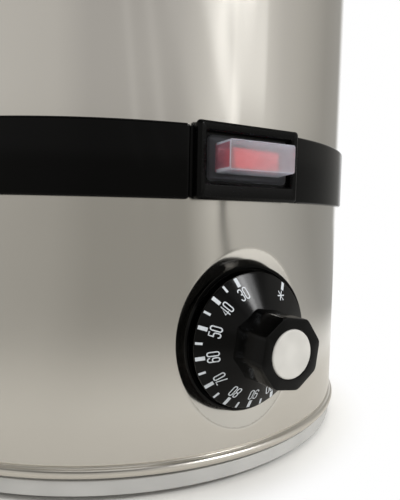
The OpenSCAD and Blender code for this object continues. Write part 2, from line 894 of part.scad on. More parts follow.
// Thermostat behind the dial
module thermostat() {
    color("#C9C2AE") on_wall(control_az, dial_z) difference() {
        union() {
            block(stat_plate_w, stat_plate_h, stat_front - stat_plate_t, stat_front);
            block(stat_w, stat_h, stat_back, stat_front - stat_plate_t);
            rod(bush_r, stat_front, bush_end);
            for (y = [-1, 1]) translate([0, y * stat_blade_y, 0])
                block(blade_w, blade_t, stat_back - blade_len, stat_back);
        }
        rod(shaft_r + running_gap, shaft_inner - 1, bush_end + 1);
        for (y = [-1, 1]) translate([0, y * stat_screw_y, 0])
            rod(screw_r + seat_gap, stat_front - stat_screw_bite - 2, stat_front + 1);
    }
}

module thermostat_shaft() {
    color(bright_steel) on_wall(control_az, dial_z) difference() {
        rod(shaft_r, shaft_inner, shaft_end);
        translate([shaft_r - shaft_flat, -shaft_r, hub_back]) cube([shaft_r, 2 * shaft_r, far]);
    }
}

module thermostat_screws() {
    color(bright_steel) on_wall(control_az, dial_z)
        for (y = [-1, 1]) translate([0, y * stat_screw_y, seat_d + ring_floor_t]) mirror([0, 0, 1])
            screw(screw_r, small_head_r, small_head_h, sheet_t + ring_floor_t + stat_screw_bite);
}

// Dial
module dial_ring() {
    edge_r = ring_wall / 2;
    rim = [
        for (a = [0 : 20 : 180])
            [ring_r - edge_r + edge_r * cos(a), ring_top - edge_r + edge_r * sin(a)]
    ];
    floor_top = seat_d + ring_floor_t;
    hole_r = bush_r + hole_gap;
    color(black_plastic) on_wall(control_az, dial_z) difference() {
        rotate_extrude() polygon(concat(
            [[hole_r, seat_d], [ring_r, seat_d]], rim, [[ring_in_r, floor_top], [hole_r, floor_top]]
        ));
        for (y = [-1, 1]) translate([0, y * stat_screw_y, 0]) rod(screw_r + hole_gap, 0, far);
    }
}

module dial_knob() {
    grip_foot_r = octagon_r * cos(180 / 8);
    color(black_plastic) on_wall(control_az, dial_z) difference() {
        union() {
            rotate_extrude() polygon([
                [0, hub_back], [hub_r, hub_back], [hub_r, cone_top - 2 * skirt_shell],
                [dial_r - skirt_shell, rim_back], [dial_r, rim_back], [dial_r, rim_d],
                [grip_foot_r, cone_top], [0, cone_top]
            ]);
            rotate([0, 0, octagon_turn]) translate([0, 0, cone_top - 1])
                cylinder(r = octagon_r, h = octagon_h + 1, $fn = 8);
        }
        rod(shaft_r + running_gap, hub_back - 1, knob_bore_end);
        rod(cap_r + seat_gap, knob_front - cap_pocket, knob_front + 1);
    }
}

module dial_cap() {
    low = knob_front - cap_pocket + seat_gap;
    top = knob_front + cap_proud;
    rounding = 0.8;
    edge = [
        for (a = [0 : 30 : 90]) [cap_r - rounding + rounding * cos(a), top - rounding + rounding * sin(a)]
    ];
    color("#E4E2DC") on_wall(control_az, dial_z)
        rotate_extrude() polygon(concat([[0, low], [cap_r, low]], edge, [[0, top]]));
}

module knob_clip() {
    color(bright_steel) on_wall(control_az, dial_z) intersection() {
        rod(shaft_r, hub_back + 1, shaft_end);
        translate([shaft_r - shaft_flat + seat_gap, -shaft_r, 0]) cube([shaft_r, 2 * shaft_r, far]);
    }
}

// Switch
module housing_chamfers() {
    side = housing_chamfer * sqrt(2);
    for (turn = [0, 90], s = [-1, 1]) {
        half = (turn == 0 ? housing_w : housing_h) / 2;
        rotate([0, 0, turn]) translate([s * half, 0, housing_front]) rotate([0, 45, 0])
            cube([side, far, side], center = true);
    }
}

module switch_housing() {
    color(black_plastic) difference() {
        union() {
            difference() {
                on_wall(control_az, housing_mid_z) difference() {
                    block(housing_w, housing_h, 0.8 * tank_r, housing_front);
                    housing_chamfers();
                }
                wide_rod(tank_r + seat_gap, 0, tank_top);
            }
            on_wall(control_az, opening_z) block(tub_w, tub_h, tub_back, recess_floor);
        }
        on_wall(control_az, opening_z) {
            block(opening_w, opening_h, recess_floor, far);
            block(bezel_w + 2 * hole_gap, bezel_h + 2 * hole_gap, bezel_back, far);
            block(switch_w + 2 * hole_gap, switch_h + 2 * hole_gap, 0, far);
        }
    }
}

module switch_body() {
    color("#242425") on_wall(control_az, opening_z) difference() {
        union() {
            block(bezel_w, bezel_h, bezel_back, recess_floor);
            block(switch_w, switch_h, switch_back, bezel_back);
        }
        block(cavity_w, cavity_h, pivot_d - cavity_deep, far);
        translate([0, 0, pivot_d]) rotate([90, 0, 0])
            rod(trunnion_r + running_gap, -trunnion_y - seat_gap, trunnion_y + seat_gap);
    }
}

module switch_blades() {
    color(brass) on_wall(control_az, opening_z)
        for (side = [-1, 1]) translate([side * blade_x, 0, 0])
            block(blade_t, blade_w, switch_back - blade_len, switch_back);
}

module rocker() {
    half = rocker_w / 2;
    color("#C8201E") on_wall(control_az, opening_z) translate([0, 0, pivot_d]) rotate([90, rocker_tilt, 0]) {
        translate([0, 0, -rocker_h / 2]) linear_extrude(rocker_h) mirror([0, 1]) polygon([
            [-half, -rocker_face], [0, rocker_dip - rocker_face], [half, -rocker_face],
            [half - 2, 1], [half / 3, rocker_keel], [-half / 3, rocker_keel], [2 - half, 1]
        ]);
        rod(trunnion_r, -trunnion_y, trunnion_y);
    }
}

module splash_cover() {
    color([0.75, 0.77, 0.82, 0.6]) on_wall(control_az, opening_z) difference() {
        union() {
            round_block(cover_w + 2 * flange_side, cover_h + 2 * flange_up, flange_corner_r,
                recess_floor, recess_floor + cover_flange_t);
            round_block(cover_w, cover_h, cover_corner_r, recess_floor, recess_floor + cover_d);
        }
        round_block(cover_w - 2 * cover_wall, cover_h - 2 * cover_wall, cover_inner_r,
            0, recess_floor + cover_d - cover_wall);
    }
}

// Overheat cut-out with its reset button
module overheat_cutout() {
    color("#3A3A3C") translate(cutout_xy) difference() {
        rod(cutout_r, plate_top, plate_top + cutout_h);
        rod(button_r + running_gap, 0, plate_top + 2 * button_up);
    }
}

module reset_button() {
    color("#B02020") translate(cutout_xy) rod(button_r, plate_z - button_down, plate_top + button_up);
}

// Tap
module tap_body() {
    color(bright_steel) difference() {
        union() {
            on_wall(tap_az, tap_z) {
                rod(shank_r, shank_end_d, tap_d);
                rod(gasket_r, tank_r + gasket_t, tank_r + gasket_t + collar_t);
                rod(neck_r, tank_r + gasket_t, tap_d);
            }
            at_valve() {
                rod(barrel_r, -barrel_down, barrel_up);
                translate([0, 0, -barrel_down - spout_taper])
                    cylinder(r1 = spout_r, r2 = barrel_r, h = spout_taper);
                rod(spout_r, spout_end, -barrel_down);
            }
        }
        on_wall(tap_az, tap_z) rod(waterway_r, shank_end_d - 1, tap_d);
        at_valve() {
            rod(chamber_r, -seat_down, barrel_up + 1);
            rod(waterway_r, spout_end - 1, 0);
        }
    }
}

module tap_gasket_outer() {
    color(silicone) difference() {
        on_wall(tap_az, tap_z) tube(gasket_r, shank_r + seat_gap, tank_r / 2, tank_r + gasket_t - seat_gap);
        wide_rod(tank_r + seat_gap, 0, tank_top);
    }
}

module tap_gasket_inner() {
    color(silicone) intersection() {
        on_wall(tap_az, tap_z) tube(gasket_r, shank_r + seat_gap, nut_face_d, tank_r);
        wide_rod(inner_r - seat_gap, 0, tank_top);
    }
}

module tap_nut() {
    color(bright_steel) on_wall(tap_az, tap_z) difference() {
        hex(tap_nut_r, nut_face_d - tap_nut_t, nut_face_d - seat_gap);
        rod(shank_r + running_gap, 0, far);
    }
}

module tap_bonnet() {
    rounding = 2;
    edge = [
        for (a = [0 : 30 : 90])
            [bonnet_r - rounding + rounding * cos(a), roof_top - rounding + rounding * sin(a)]
    ];
    thread_r = barrel_r + seat_gap;
    color(black_plastic) at_valve() rotate_extrude() polygon(concat(
        [[thread_r, bonnet_low], [bonnet_r, bonnet_low]], edge,
        [[stem_r + running_gap, roof_top], [stem_r + running_gap, roof_low], [chamber_r, roof_low],
            [chamber_r, barrel_up + seat_gap], [thread_r, barrel_up + seat_gap]]
    ));
}

module tap_stem() {
    color(bright_steel) at_valve() difference() {
        union() {
            rod(stem_r, stem_low, pin_up + stem_top_over);
            rod(collar_r, collar_low, collar_low + collar_h);
        }
        translate([0, 0, pin_up]) rotate([0, 90, 0]) rod(lever_pin_r + running_gap, -far, far);
    }
}

module valve_cup() {
    color(silicone) at_valve() difference() {
        rod(cup_r, cup_low, collar_low - seat_gap);
        rod(stem_r + running_gap, stem_low - seat_gap, barrel_up);
    }
}

module tap_spring() {
    steps = spring_turns * spring_steps;
    path = [
        for (i = [0 : steps])
            let (a = 360 * i / spring_steps)
                [spring_mid_r * cos(a), spring_mid_r * sin(a),
                    spring_low + (spring_high - spring_low) * i / steps]
    ];
    color(bright_steel) at_valve() swept(path, spring_wire_r, spring_sides);
}

module tap_lever() {
    color(black_plastic) at_valve() translate([0, 0, pin_up]) difference() {
        rotate([90, 0, 90]) {
            translate([-cam_offset, 0, 0]) rod(cam_r, -lever_half_w, lever_half_w);
            rod(pin_boss_r, -lever_half_w, lever_half_w);
            translate([-lever_t / 2, 0, -lever_half_w]) cube([lever_t, lever_len, 2 * lever_half_w]);
            translate([0, lever_len, 0]) rod(lever_t / 2, -lever_half_w, lever_half_w);
        }
        translate([-fork_gap, -far / 2, -far]) cube([2 * fork_gap, far, far + lever_slot_top]);
        rotate([0, 90, 0]) rod(lever_pin_r + running_gap, -far, far);
    }
}

module lever_pin() {
    color(bright_steel) at_valve() translate([0, 0, pin_up]) rotate([0, 90, 0])
        rod(lever_pin_r, -lever_half_w, lever_half_w);
}

// Mains inlet and wiring
module cord_gland() {
    color(black_plastic) difference() {
        union() {
            difference() {
                on_wall(180, gland_z) {
                    rod(gland_collar_r, tank_r / 2, tank_r + gland_collar_t);
                    rod(gland_nose_r, tank_r, tank_r + gland_nose_len);
                }
                wide_rod(tank_r + seat_gap, 0, base_top);
            }
            on_wall(180, gland_z) rod(gland_r, tank_r - gland_thread_len, tank_r + 1);
        }
        on_wall(180, gland_z) rod(cord_r, tank_r / 2, far);
    }
}

module gland_nut() {
    face = sqrt(inner_r * inner_r - gland_collar_r * gland_collar_r);
    color(black_plastic) on_wall(180, gland_z) difference() {
        hex(gland_collar_r, face - gland_nut_t, face);
        rod(gland_r + running_gap, 0, far);
    }
}

module terminal_block() {
    color("#E8E4D8") translate([block_xy[0], block_xy[1], 0])
        block(block_size[0], block_size[1], plate_top, plate_top + block_size[2]);
}

module earth_stud() {
    color(brass) translate(earth_xy) {
        rod(earth_r, plate_top, plate_top + earth_h);
        hex(earth_nut_r, plate_top, plate_top + earth_nut_h);
    }
}

module live_wires() {
    color("#7A4A28") routes(live_routes, wire_r);
}

module neutral_wire() {
    color("#3D6FB4") routes(neutral_routes, wire_r);
}

module earth_wire() {
    color("#6FA53A") routes(earth_routes, wire_r);
}

tank_shell();
tank_floor();
lid();
lid_knob();
lid_screw();
lid_washer();
handle_left();
handle_right();
handle_screws();
handle_washers();
joint_ring();
waist_band();
base_shell();
base_skirt();
bottom_plate();
bottom_screws();
feet();
foot_screws();
tie_rods();
tie_nuts();
heater_plate();
heating_element();
sensing_bulbs();
bulb_clips();
capillary_tubes();
thermostat();
thermostat_shaft();
thermostat_screws();
dial_ring();
dial_knob();
dial_cap();
knob_clip();
switch_housing();
switch_body();
switch_blades();
rocker();
splash_cover();
overheat_cutout();
reset_button();
tap_body();
tap_gasket_outer();
tap_gasket_inner();
tap_nut();
tap_bonnet();
tap_stem();
valve_cup();
tap_spring();
tap_lever();
lever_pin();
cord_gland();
gland_nut();
terminal_block();
earth_stud();
live_wires();
neutral_wire();
earth_wire();
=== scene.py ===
# %% [markdown]
# This lesson dresses a heated drinks urn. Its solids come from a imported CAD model, in metres, and
# every piece made here goes to the place that the model gives it. The scene that Blender opens with
# is emptied first, so that only the urn, its floor and its lights are in the picture.

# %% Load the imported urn
import cmath
import json
import math

import bmesh
import bpy
from mathutils import Matrix, Vector

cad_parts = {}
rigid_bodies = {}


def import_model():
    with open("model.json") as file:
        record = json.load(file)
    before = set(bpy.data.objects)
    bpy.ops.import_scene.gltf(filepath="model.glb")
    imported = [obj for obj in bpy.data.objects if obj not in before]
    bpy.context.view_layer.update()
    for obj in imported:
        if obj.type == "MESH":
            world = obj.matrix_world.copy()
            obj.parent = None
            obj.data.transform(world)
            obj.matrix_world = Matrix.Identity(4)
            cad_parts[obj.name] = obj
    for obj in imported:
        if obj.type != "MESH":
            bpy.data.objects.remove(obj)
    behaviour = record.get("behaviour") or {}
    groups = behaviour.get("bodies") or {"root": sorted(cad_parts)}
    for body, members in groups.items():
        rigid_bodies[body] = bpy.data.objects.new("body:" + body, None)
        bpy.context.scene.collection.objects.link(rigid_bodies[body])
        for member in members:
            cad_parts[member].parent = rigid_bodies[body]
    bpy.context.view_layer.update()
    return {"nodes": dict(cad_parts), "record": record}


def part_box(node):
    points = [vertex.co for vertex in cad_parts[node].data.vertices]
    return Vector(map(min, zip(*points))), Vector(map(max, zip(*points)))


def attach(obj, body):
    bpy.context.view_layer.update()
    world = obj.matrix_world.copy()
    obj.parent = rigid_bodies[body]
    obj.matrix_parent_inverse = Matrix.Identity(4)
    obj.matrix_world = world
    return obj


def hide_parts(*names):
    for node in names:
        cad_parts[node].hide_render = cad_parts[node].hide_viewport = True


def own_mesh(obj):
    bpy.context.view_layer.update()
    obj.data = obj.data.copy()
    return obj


for leftover in list(bpy.data.objects):
    bpy.data.objects.remove(leftover)
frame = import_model()

# %% [markdown]
# The switch and the dial do not face the front of the urn: they sit 60 degrees round from the tap.
# The dial's joint says where, so a matrix built from its axis turns "right, up, outward" at the
# controls into the urn's own axes. Shapes are written in millimetres, as a drawing would give them,
# and shrink to metres only when a mesh is made.

# %% Where the controls sit
MM = 0.001
joints = {joint["name"]: joint for joint in frame["record"]["behaviour"]["joints"]}
outward = Vector(joints["dial_turn"]["axis"]).normalized()
upward = Vector((0, 0, 1))
rightward = upward.cross(outward)
control_turn = Matrix((rightward, upward, outward)).transposed().to_4x4()
DIAL_Z = joints["dial_turn"]["pos_m"][2] / MM
SWITCH_Z = joints["rocker_tip"]["pos_m"][2] / MM
at_dial = Matrix.Translation((0, 0, DIAL_Z)) @ control_turn
print("dial", round(DIAL_Z, 2), "mm up, switch", round(SWITCH_Z, 2), "mm up")

# %% [markdown]
# Nearly every part of an urn is pressed, spun or moulded, so its edges are rounded. The first
# helper takes a path of corners, each with its radius, and turns the corners into arcs. Complex
# numbers keep that short: a turn is a multiplication, and an angle is a phase.

# %% Rounded paths
def rounded(corners, steps=6):
    """Turn (x, y, radius) corners into a path whose corners are arcs."""
    spots = [complex(x, y) for x, y, radius in corners]
    path = []
    for i, (x, y, radius) in enumerate(corners):
        if not radius:
            path.append((x, y))
            continue
        here = spots[i]
        back = spots[i - 1] - here
        on = spots[(i + 1) % len(spots)] - here
        back, on = back / abs(back), on / abs(on)
        half = abs(cmath.phase(on / back)) / 2
        middle = here + (back + on) / abs(back + on) * radius / math.sin(half)
        reach = radius / math.tan(half)
        start = here + back * reach - middle
        sweep = cmath.phase((here + on * reach - middle) / start)
        for k in range(steps + 1):
            spot = middle + start * cmath.exp(1j * sweep * k / steps)
            path.append((spot.real, spot.imag))
    return path


sample = rounded([(0, 0, 1), (9, 0, 1), (9, 9, 1), (0, 9, 1)])
print("a square with rounded corners has", len(sample), "points")

# %% [markdown]
# Most meshes here are skins over rings of points, and many of those are paths spun round an axis,
# as a metal spinner does it. A mesh written point by point keeps every size under control, which a
# sculpted or subdivided block would not.

# %% Skins and spun shapes
def skin(rings, around=True, wrap=False, caps=True):
    """Join equal rings of points with quads, and close the two end rings."""
    count = len(rings[0])
    points = [point for ring in rings for point in ring]
    faces = []
    for i in range(len(rings) if wrap else len(rings) - 1):
        a, b = i * count, (i + 1) % len(rings) * count
        for j in range(count if around else count - 1):
            k = (j + 1) % count
            faces.append((a + j, a + k, b + k, b + j))
    if caps and not wrap:
        faces.append(tuple(range(count)))
        faces.append(tuple(range(len(points) - count, len(points))))
    return points, faces


def turned(profile, place=Matrix(), steps=128, closed=True):
    """Spin a path of (radius, height) points round an axis."""
    rings = []
    for k in range(steps):
        a = 2 * math.pi * k / steps
        rings.append([place @ Vector((r * math.cos(a), r * math.sin(a), z)) for r, z in profile])
    return skin(rings, around=closed, wrap=True)


def together(*meshes):
    """Put several point and face lists into one."""
    points, faces = [], []
    for more_points, more_faces in meshes:
        start = len(points)
        points += more_points
        faces += [tuple(start + i for i in face) for face in more_faces]
    return points, faces


print("a ring spun in 128 steps has", len(turned([(1, 0), (2, 0), (2, 1)])[1]), "faces")

# %% [markdown]
# A piece is a mesh with a finish that rides on one body of the frame. This helper takes points in
# millimetres, welds points that meet, turns all faces outward and smooths the shading up to a
# chosen angle. It also hides the solids that the piece stands for.

# %% Make a piece
WELD_MM = 0.002


def piece(name, mesh_lists, finish, body="urn", stands_for=(), sharp=35):
    """Make a piece from point and face lists in millimetres, and let it ride on its body."""
    points, faces = mesh_lists
    mesh = bpy.data.meshes.new(name)
    mesh.from_pydata([Vector(point) * MM for point in points], [], faces)
    work = bmesh.new()
    work.from_mesh(mesh)
    bmesh.ops.remove_doubles(work, verts=work.verts, dist=WELD_MM * MM)
    bmesh.ops.recalc_face_normals(work, faces=work.faces)
    work.to_mesh(mesh)
    work.free()
    mesh.shade_smooth()
    mesh.set_sharp_from_angle(angle=math.radians(sharp))
    mesh.materials.append(finish)
    thing = bpy.data.objects.new(name, mesh)
    bpy.context.scene.collection.objects.link(thing)
    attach(thing, body)
    if stands_for:
        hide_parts(*stands_for)
    print("made", name, "with", len(mesh.polygons), "faces")
    return thing


# %% [markdown]
# Materials are trees of nodes. Colours are written as the sRGB hex values that an eye reads off a
# screen, and one function turns them into the linear values that light adds up in. A second
# function adds a node, sets it and links it, so that each material below reads like a short recipe.
# Pattern sizes are in millimetres: a pattern that repeats every 2 mm has a scale of 500 to the
# metre.

# %% Colours and nodes
def linear(code):
    """Turn an sRGB hex value into a linear colour."""
    parts = [int(code[i:i + 2], 16) / 255 for i in (1, 3, 5)]
    return [p / 12.92 if p <= 0.04045 else ((p + 0.055) / 1.055) ** 2.4 for p in parts] + [1]


def add(tree, kind, inputs=None, **settings):
    """Add a node with its settings, and link or set its inputs."""
    node = tree.nodes.new("ShaderNode" + kind)
    for name, value in settings.items():
        setattr(node, name, value)
    for socket, value in (inputs or {}).items():
        if isinstance(value, bpy.types.NodeSocket):
            tree.links.new(value, node.inputs[socket])
        else:
            node.inputs[socket].default_value = value
    return node


def per_metre(size_mm):
    """Scale of a pattern whose spots are so many millimetres wide."""
    return 1000 / size_mm


def blank(name):
    """A new material with an empty node tree."""
    material = bpy.data.materials.new(name)
    material.use_nodes = True
    material.node_tree.nodes.clear()
    return material, material.node_tree


FINISH = {}

# %% [markdown]
# The tank, the lower shell and the lid are stainless sheet with a satin finish. Polishing belts
# leave lines round the drum that are far finer than a pixel. They stretch every highlight up and
# down, which is why the steel shows soft upright bands and no level edges. Anisotropy along a
# tangent that runs round the axis gives that stretch, and lines drawn coarser than the real ones,
# about 1 mm apart, keep it from looking airbrushed.

# %% Satin stainless sheet
def stainless(name, tone, rough, stretch, line_mm, depth_mm):
    """Polished or satin sheet steel, with lines that run round the Z axis on walls and on lids."""
    material, tree = blank(name)
    spot = add(tree, "TexCoord")
    flat = add(tree, "VectorMath", {0: spot.outputs["Object"], 1: (1, 1, 0)}, operation="MULTIPLY")
    radius = add(tree, "VectorMath", {0: flat.outputs[0]}, operation="LENGTH")
    height = add(tree, "SeparateXYZ", {0: spot.outputs["Object"]})
    along = add(tree, "Math", {0: radius.outputs["Value"], 1: height.outputs[2]}, operation="ADD")
    across = add(tree, "CombineXYZ", {2: along.outputs[0]})
    lines_at = add(tree, "Mapping", {0: across.outputs[0], 3: (1, 1, per_metre(line_mm))})
    lines = add(tree, "TexNoise", {
        "Vector": lines_at.outputs[0], "Scale": 1, "Detail": 3, "Roughness": 0.6,
    })
    clouds = add(tree, "TexNoise", {"Vector": spot.outputs["Object"], "Scale": per_metre(90), "Detail": 2})
    shade = add(tree, "MapRange", {0: clouds.outputs[0], 1: 0.3, 2: 0.7, 3: 0.97, 4: 1.03})
    colour = add(tree, "VectorMath", {0: linear(tone)[:3], 3: shade.outputs[0]}, operation="SCALE")
    mixed = add(tree, "Math", {0: lines.outputs[0], 1: 0.6, 2: clouds.outputs[0]}, operation="MULTIPLY_ADD")
    dull = add(tree, "MapRange", {0: mixed.outputs[0], 1: 0.5, 2: 1.1, 3: rough * 0.93, 4: rough * 1.07})
    bump = add(tree, "Bump", {"Strength": 0.5, "Distance": depth_mm * MM, "Height": lines.outputs[0]})
    round_axis = add(tree, "Tangent", direction_type="RADIAL", axis="Z")
    steel = add(tree, "BsdfPrincipled", {
        "Base Color": colour.outputs[0], "Metallic": 1, "Roughness": dull.outputs[0],
        "Anisotropic": stretch, "Anisotropic Rotation": 0.25,
        "Normal": bump.outputs[0], "Tangent": round_axis.outputs[0],
    })
    add(tree, "OutputMaterial", {0: steel.outputs[0]})
    return material


# soft upright glow with no hard edges, a little warm
FINISH["satin_steel"] = stainless("stainless_sheet_satin_polished", "#CFCCC6", 0.13, 0.9, 1.1, 0.0008)
# the same sheet on the pressed dish, tinted brighter than the drum: a painted highlight that makes its
# reflected crescents paler
DISH_PAINTED_HIGHLIGHT = stainless("stainless_sheet_dish_painted_highlight", "#E2DFD9", 0.12, 0.8, 1.1, 0.0006)
# the same sheet rolled over at its edge, where the rollers left a duller glow with little grain
ROLLED = stainless("stainless_sheet_rolled_edge", "#D4D0C8", 0.3, 0.2, 1.1, 0.0006)
# small sharp glints on screws, nuts and rods
FINISH["bright_steel"] = stainless("zinc_plated_steel_turned", "#D6D5D2", 0.2, 0.3, 0.4, 0.004)
# dull with straw and blue clouds from the heat
FINISH["element_steel"] = stainless("steel_tube_heat_tinted", "#A49A8A", 0.4, 0.2, 0.6, 0.01)
print("mixed", ", ".join(sorted(FINISH)))

# %% [markdown]
# Chrome on brass, bare brass, copper and cast aluminium are the other metals. They differ in colour
# and in what made the surface: buffing, turning, drawing or a sand mould. One recipe with a grain
# size and a depth covers them, because none of them has a direction that the eye can see at this
# size.

# %% Other metals
def plain_metal(name, tone, second_tone, rough, grain_mm, depth_mm):
    """A metal with a cloudy colour and an even grain."""
    material, tree = blank(name)
    spot = add(tree, "TexCoord")
    clouds = add(tree, "TexNoise", {"Vector": spot.outputs["Object"], "Scale": per_metre(14), "Detail": 3})
    grain = add(tree, "TexNoise", {
        "Vector": spot.outputs["Object"], "Scale": per_metre(grain_mm), "Detail": 2,
    })
    colour = add(tree, "ValToRGB", {0: clouds.outputs[0]})
    colour.color_ramp.elements[0].position = 0.35
    colour.color_ramp.elements[0].color = linear(second_tone)
    colour.color_ramp.elements[1].position = 0.6
    colour.color_ramp.elements[1].color = linear(tone)
    dull = add(tree, "MapRange", {0: clouds.outputs[0], 1: 0.3, 2: 0.7, 3: rough * 1.3, 4: rough * 0.8})
    bump = add(tree, "Bump", {"Strength": 0.5, "Distance": depth_mm * MM, "Height": grain.outputs[0]})
    metal = add(tree, "BsdfPrincipled", {
        "Base Color": colour.outputs[0], "Metallic": 1,
        "Roughness": dull.outputs[0], "Normal": bump.outputs[0],
    })
    add(tree, "OutputMaterial", {0: metal.outputs[0]})
    return material


# a cool mirror with the faint ripple of a buffed casting
FINISH["chromed_brass"] = plain_metal("chrome_on_buffed_brass", "#DCDDDE", "#CFD1D3", 0.08, 6, 0.02)
# yellow, a little tarnished
FINISH["brass"] = plain_metal("brass_turned", "#D9BE7C", "#B89A58", 0.3, 0.5, 0.01)
# pink-brown with darker handling marks
FINISH["copper"] = plain_metal("copper_tube_drawn", "#D79A78", "#A8694A", 0.32, 0.6, 0.01)
# pale grey with the pebbled skin of a sand mould
FINISH["cast_aluminium"] = plain_metal("aluminium_sand_cast", "#BFC0C0", "#A9ABAC", 0.5, 1.2, 0.12)
print("mixed", len(FINISH), "finishes so far")

# %% [markdown]
# Moulded plastic copies its mould. A polished mould gives a gloss whose reflections wander a
# little, because the wall sinks as it cools. A spark-eroded mould gives an even fine grain, which
# spreads the light. Both are noise at two sizes: a long wave in millimetres and a grain in tenths,
# drawn coarser here so that the render can show it.

# %% Moulded plastics and rubbers
def moulded(name, tone, rough, wave_mm, wave_depth, grain_mm, grain_depth, shine=0.5, sheen=0.0):
    """A moulded plastic or rubber with a long wave and a fine grain."""
    material, tree = blank(name)
    spot = add(tree, "TexCoord")
    wave = add(tree, "TexNoise", {
        "Vector": spot.outputs["Object"], "Scale": per_metre(wave_mm), "Detail": 1,
    })
    grain = add(tree, "TexNoise", {
        "Vector": spot.outputs["Object"], "Scale": per_metre(grain_mm), "Detail": 3,
    })
    shade = add(tree, "MapRange", {0: wave.outputs[0], 1: 0.3, 2: 0.7, 3: 0.92, 4: 1.06})
    colour = add(tree, "VectorMath", {0: linear(tone)[:3], 3: shade.outputs[0]}, operation="SCALE")
    dull = add(tree, "MapRange", {0: grain.outputs[0], 1: 0.3, 2: 0.7, 3: rough * 0.9, 4: rough * 1.12})
    sink = add(tree, "Bump", {"Strength": 1, "Distance": wave_depth * MM, "Height": wave.outputs[0]})
    skin_grain = add(tree, "Bump", {
        "Strength": 1, "Distance": grain_depth * MM, "Height": grain.outputs[0], "Normal": sink.outputs[0],
    })
    plastic = add(tree, "BsdfPrincipled", {
        "Base Color": colour.outputs[0], "Roughness": dull.outputs[0], "Normal": skin_grain.outputs[0],
        "Specular IOR Level": shine, "Sheen Weight": sheen,
    })
    add(tree, "OutputMaterial", {0: plastic.outputs[0]})
    return material


print("plastics have a wave and a grain")

# %% [markdown]
# The plastics and rubbers of the urn differ in colour, gloss and grain. The numbers are roughness,
# then the width and depth of the wave and of the grain in millimetres. The black parts take a low
# specular level, because they reflect the pale room less than plain plastic would.

# %% Plastics and rubbers of the urn
# deep black with wandering gloss
FINISH["gloss_black"] = moulded("abs_gloss_moulded_black", "#030303", 0.13, 30, 0.05, 0.8, 0.001, 0.1)
# black with a soft grey bloom on its edges
FINISH["black_housing"] = moulded("nylon_satin_moulded_black", "#040404", 0.28, 20, 0.05, 0.5, 0.004, 0.11)
# dense black with a polished skin
FINISH["black_phenolic"] = moulded("phenolic_pressed_black", "#030303", 0.17, 16, 0.006, 0.5, 0.001, 0.15)
# matt, even, a touch cooler than the steel
FINISH["grey_plastic"] = moulded("polypropylene_moulded_grey", "#B4B4B2", 0.5, 25, 0.05, 0.7, 0.01)
# warm white with a faint gloss
FINISH["white_cap"] = moulded("abs_moulded_off_white", "#C6C5C1", 0.35, 9, 0.03, 0.5, 0.004)
# clear strong red
FINISH["red_rocker"] = moulded("polycarbonate_moulded_red", "#F02A26", 0.3, 8, 0.02, 0.5, 0.004)
# pale, slightly see-through to the eye
FINISH["clear_silicone"] = moulded("silicone_moulded_pale", "#DCDAD4", 0.45, 6, 0.03, 0.5, 0.005, 0.4, 0.1)
# dusty black
FINISH["foot_rubber"] = moulded("rubber_moulded_black", "#141414", 0.7, 8, 0.05, 0.6, 0.03, 0.3, 0.1)
# old-ivory block with a dry surface
FINISH["cream_plastic"] = moulded("thermoset_pressed_cream", "#DDD3BC", 0.55, 12, 0.03, 0.4, 0.01)
# three insulations with a soft gloss in plain colours
FINISH["brown_wire"] = moulded("silicone_extruded_brown", "#5F3A22", 0.5, 6, 0.02, 0.4, 0.01)
FINISH["blue_wire"] = moulded("silicone_extruded_blue", "#2B5BA8", 0.5, 6, 0.02, 0.4, 0.01)
FINISH["green_wire"] = moulded("silicone_extruded_green", "#5C9A35", 0.5, 6, 0.02, 0.4, 0.01)
# flat, thin and a little cool
INK = moulded("ink_pad_printed_white", "#C6CCD2", 0.5, 3, 0.01, 0.3, 0.004)
print("mixed", len(FINISH), "finishes so far")

# %% [markdown]
# The splash cover is milky silicone. Light is scattered on its way through the thin walls, so the
# red rocker behind them shows as a soft blur. Rough transmission gives that blur. Alone it would
# leave the rocker in the dark, because Cycles stops the lamps' light at such a wall, so Light Path
# lets most of that light through. A share of milk whitens the wall, and grows to the right, where
# the rocker leans away. Where two walls meet there is more silicone to cross and the edges turn
# white, so each kind of place has its own mix.

# %% Milky silicone
MILK_STARTS, MILK_ENDS, LAMP_STOP = -15 * MM, 8 * MM, 0.05


def silicone(name, tone, milk_left, milk_right, rough=0.3):
    """Silicone that blurs what lies behind it, with a share of milk that changes from left to right."""
    material, tree = blank(name)
    spot = add(tree, "TexCoord").outputs["Object"]
    clouds = add(tree, "TexNoise", {"Vector": spot, "Scale": per_metre(5), "Detail": 2})
    shade = add(tree, "MapRange", {0: clouds.outputs[0], 1: 0.3, 2: 0.7, 3: 0.95, 4: 1.04})
    colour = add(tree, "VectorMath", {0: linear(tone)[:3], 3: shade.outputs[0]}, operation="SCALE")
    bump = add(tree, "Bump", {"Strength": 1, "Distance": 0.01 * MM, "Height": clouds.outputs[0]})
    along = add(tree, "VectorMath", {0: spot, 1: rightward}, operation="DOT_PRODUCT")
    clear = add(tree, "MapRange", {
        0: along.outputs["Value"], 1: MILK_STARTS, 2: MILK_ENDS, 3: 1 - milk_left, 4: 1 - milk_right,
    }, interpolation_type="SMOOTHSTEP")
    lamp_ray = add(tree, "LightPath").outputs["Is Shadow Ray"]
    stops = add(tree, "MapRange", {0: lamp_ray, 1: 0, 2: 1, 3: 1, 4: LAMP_STOP})
    # silicone has an IOR of 1.41, lowered here because a thin wall hardly shifts what lies behind it
    gel = add(tree, "BsdfPrincipled", {
        "Base Color": colour.outputs[0], "Roughness": rough, "IOR": 1.2, "Alpha": stops.outputs[0],
        "Transmission Weight": clear.outputs[0], "Normal": bump.outputs[0],
    })
    add(tree, "OutputMaterial", {0: gel.outputs[0]})
    return material


# clear over the near end of the rocker, cloudy where the rocker leans away
FINISH["milky_silicone"] = silicone("silicone_moulded_milky", "#E4E7EE", 0.1, 0.17, 0.4)
